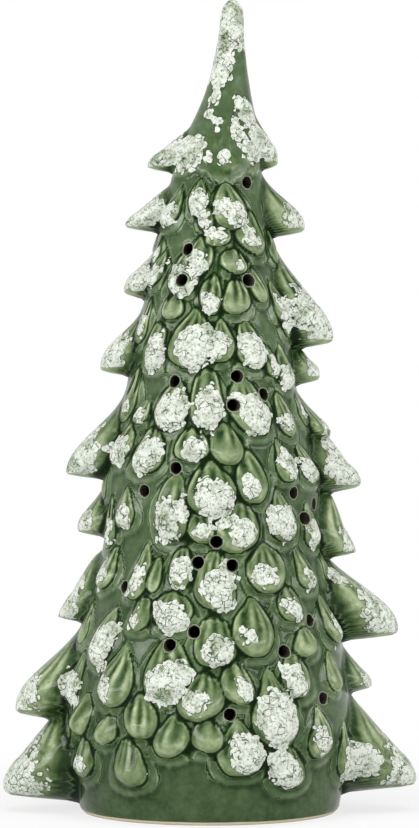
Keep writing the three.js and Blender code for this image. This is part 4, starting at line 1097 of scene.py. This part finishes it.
def through(points, steps):
    """A smooth path through points, spaced by the square root of the distance between them."""
    points = np.array(points, dtype=float)
    points = np.vstack([2 * points[0] - points[1], points, 2 * points[-1] - points[-2]])
    path = []
    for k in range(1, len(points) - 2):
        near = points[k - 1:k + 3]
        times = np.cumsum([0, *np.sqrt(np.linalg.norm(np.diff(near, axis=0), axis=1))])
        for t in np.linspace(times[1], times[2], steps, endpoint=False):
            once = [blend(near[i], near[i + 1], times[i], times[i + 1], t) for i in range(3)]
            twice = [blend(once[i], once[i + 1], times[i], times[i + 2], t) for i in range(2)]
            path.append(blend(*twice, times[1], times[2], t))
    return path + [points[-2]]


def vinyl(name, dark, light):
    made, shader, place = material(name)
    mottle = noise(place, 500, 3)
    mottle.between(dark, light).to(shader, "Base Color")
    (mottle * 0.25 + 0.3).to(shader, "Roughness")
    shader.inputs["Coat Weight"].default_value = 0.15
    return made


def board_lead(side):
    """Up through the hole in the lid, over it, and up to the board."""
    return [
        (side * 1.15, HOLE_Y, 21.35), (side * 1.15, HOLE_Y, 25.3), (side * 2.3, HOLE_Y + 3.9, OVER_LID),
        (side * 4, -13.15, OVER_LID), (side * 4, -11.2, 27.38), (side * 4, -11.2, BOARD_LOW),
    ]


def tail_lead(side):
    """Away from the tail of a contact, under the lid."""
    return [
        (side * PLATE_FACE, side * CELL_PITCH, WIRE_LEVEL), (side * 24.3, side * CELL_PITCH, WIRE_LEVEL),
        (side * 13.375, side * 16.75, WIRE_LEVEL),
    ]


RED_PATH = tail_lead(-1) + [(-5.2, -16.8, 19.33)] + board_lead(-1)
BLACK_PATH = tail_lead(1) + [(7.2, 23.1, 19.33), (3.6, SWITCH_Y, 14.5), (3.6, SWITCH_Y, 10.6)]
SWITCH_PATH = [
    (-3.6, SWITCH_Y, 10.6), (-3.6, SWITCH_Y, 15.15), (-3.6, 23.1, 19.65), (-1.15, 10.9, 19.33),
    (2.3, -5.45, 19.33), (2.3, -16.8, 19.98),
] + board_lead(1)
black_vinyl = vinyl("black_vinyl", (0.008, 0.008, 0.009, 1), (0.03, 0.03, 0.032, 1))
red_vinyl = vinyl("red_vinyl", (0.30, 0.012, 0.010, 1), (0.44, 0.025, 0.018, 1))
for name, path, slot, finish in (
    ("wire_red", RED_PATH, "red_insulation", red_vinyl),
    ("wire_black", BLACK_PATH, "black_plastic", black_vinyl),
    ("wire_switch", SWITCH_PATH, "black_plastic", black_vinyl),
):
    wire = placed(f"{name}_lead", solid(tube(through(path, 14), WIRE_RADIUS)))
    fitted(wire, "root", slot, [finish], name)

# The table is a plain white sweep in a white room. It keeps the tree's shadow, and fades to clear
# white further off.
TABLE_HALF = 4
table_mesh = bpy.data.meshes.new("table")
corners = [(x * TABLE_HALF, y * TABLE_HALF, 0) for x, y in ((-1, -1), (1, -1), (1, 1), (-1, 1))]
table_mesh.from_pydata(corners, [], [(0, 1, 2, 3)])
table = in_scene("table", table_mesh)


def seen(field):
    """1 where the camera sees a surface, straight or by way of metal or glass, and 0 for light from it."""
    camera_ray, glossy_ray, clear_ray = (field.node("ShaderNodeLightPath", output=k) for k in (0, 3, 6))
    return (camera_ray + glossy_ray + clear_ray).math("MINIMUM", 1.0)


def white_table():
    made, shader, place = material("white_table")
    shader.inputs["Base Color"].default_value = (0.9, 0.9, 0.9, 1)
    shader.inputs["Roughness"].default_value = 0.9
    shader.inputs["Specular IOR Level"].default_value = 0.0
    away = place.node("ShaderNodeVectorMath", {"operation": "LENGTH"}, {0: place}, 1)
    glow = place.node("ShaderNodeEmission", None, {"Color": (1, 1, 1, 1), "Strength": 1.0})
    direct = seen(place) * (0.74 + away.step(0.07, 0.3) * 0.26)
    lit = Field(place.nodes, shader.outputs[0])
    mixed = place.node("ShaderNodeMixShader", None, {0: direct, 1: lit, 2: glow})
    mixed.to(place.nodes.nodes["Material Output"], "Surface")
    return made


table.data.materials.append(white_table())
world = bpy.data.worlds.new("white_room")
bpy.context.scene.world = world
world.use_nodes = True
background = world.node_tree.nodes["Background"]
background.inputs["Color"].default_value = (1, 1, 1, 1)
(seen(Field(world.node_tree)) * 0.52 + 0.48).to(background, "Strength")

# Two broad soft lights stand at the sides and one hangs over the tree. The camera looks from the
# front, a little above the middle.
TREE_MIDDLE = (0, 0, 0.12)


def aimed(name, data, place, target):
    """A lamp or the camera, turned to look at a target."""
    made = in_scene(name, data)
    made.location = place
    made.rotation_euler = (Vector(target) - made.location).to_track_quat("-Z", "Y").to_euler()
    return made


def soft_light(name, place, width, height, power):
    lamp = bpy.data.lights.new(name, "AREA")
    lamp.shape = "RECTANGLE"
    lamp.size = width
    lamp.size_y = height
    lamp.energy = power
    aimed(name, lamp, place, TREE_MIDDLE)


soft_light("left_light", (-1.15, -0.96, 0.42), 1.0, 0.42, 13.5)
soft_light("right_light", (1.25, -0.8, 0.42), 1.0, 0.42, 11)
soft_light("top_light", (0.0, -0.3, 1.5), 1.0, 0.8, 8)

camera = bpy.data.cameras.new("photograph_view")
camera.lens = 177.4
camera.sensor_width = 36
camera.clip_start = 0.05
viewer = aimed("photograph_view", camera, (0, -1.6, 0.196), (0, 0, 0.1557))
bpy.context.scene.camera = viewer
bpy.context.scene.view_settings.view_transform = "Standard"
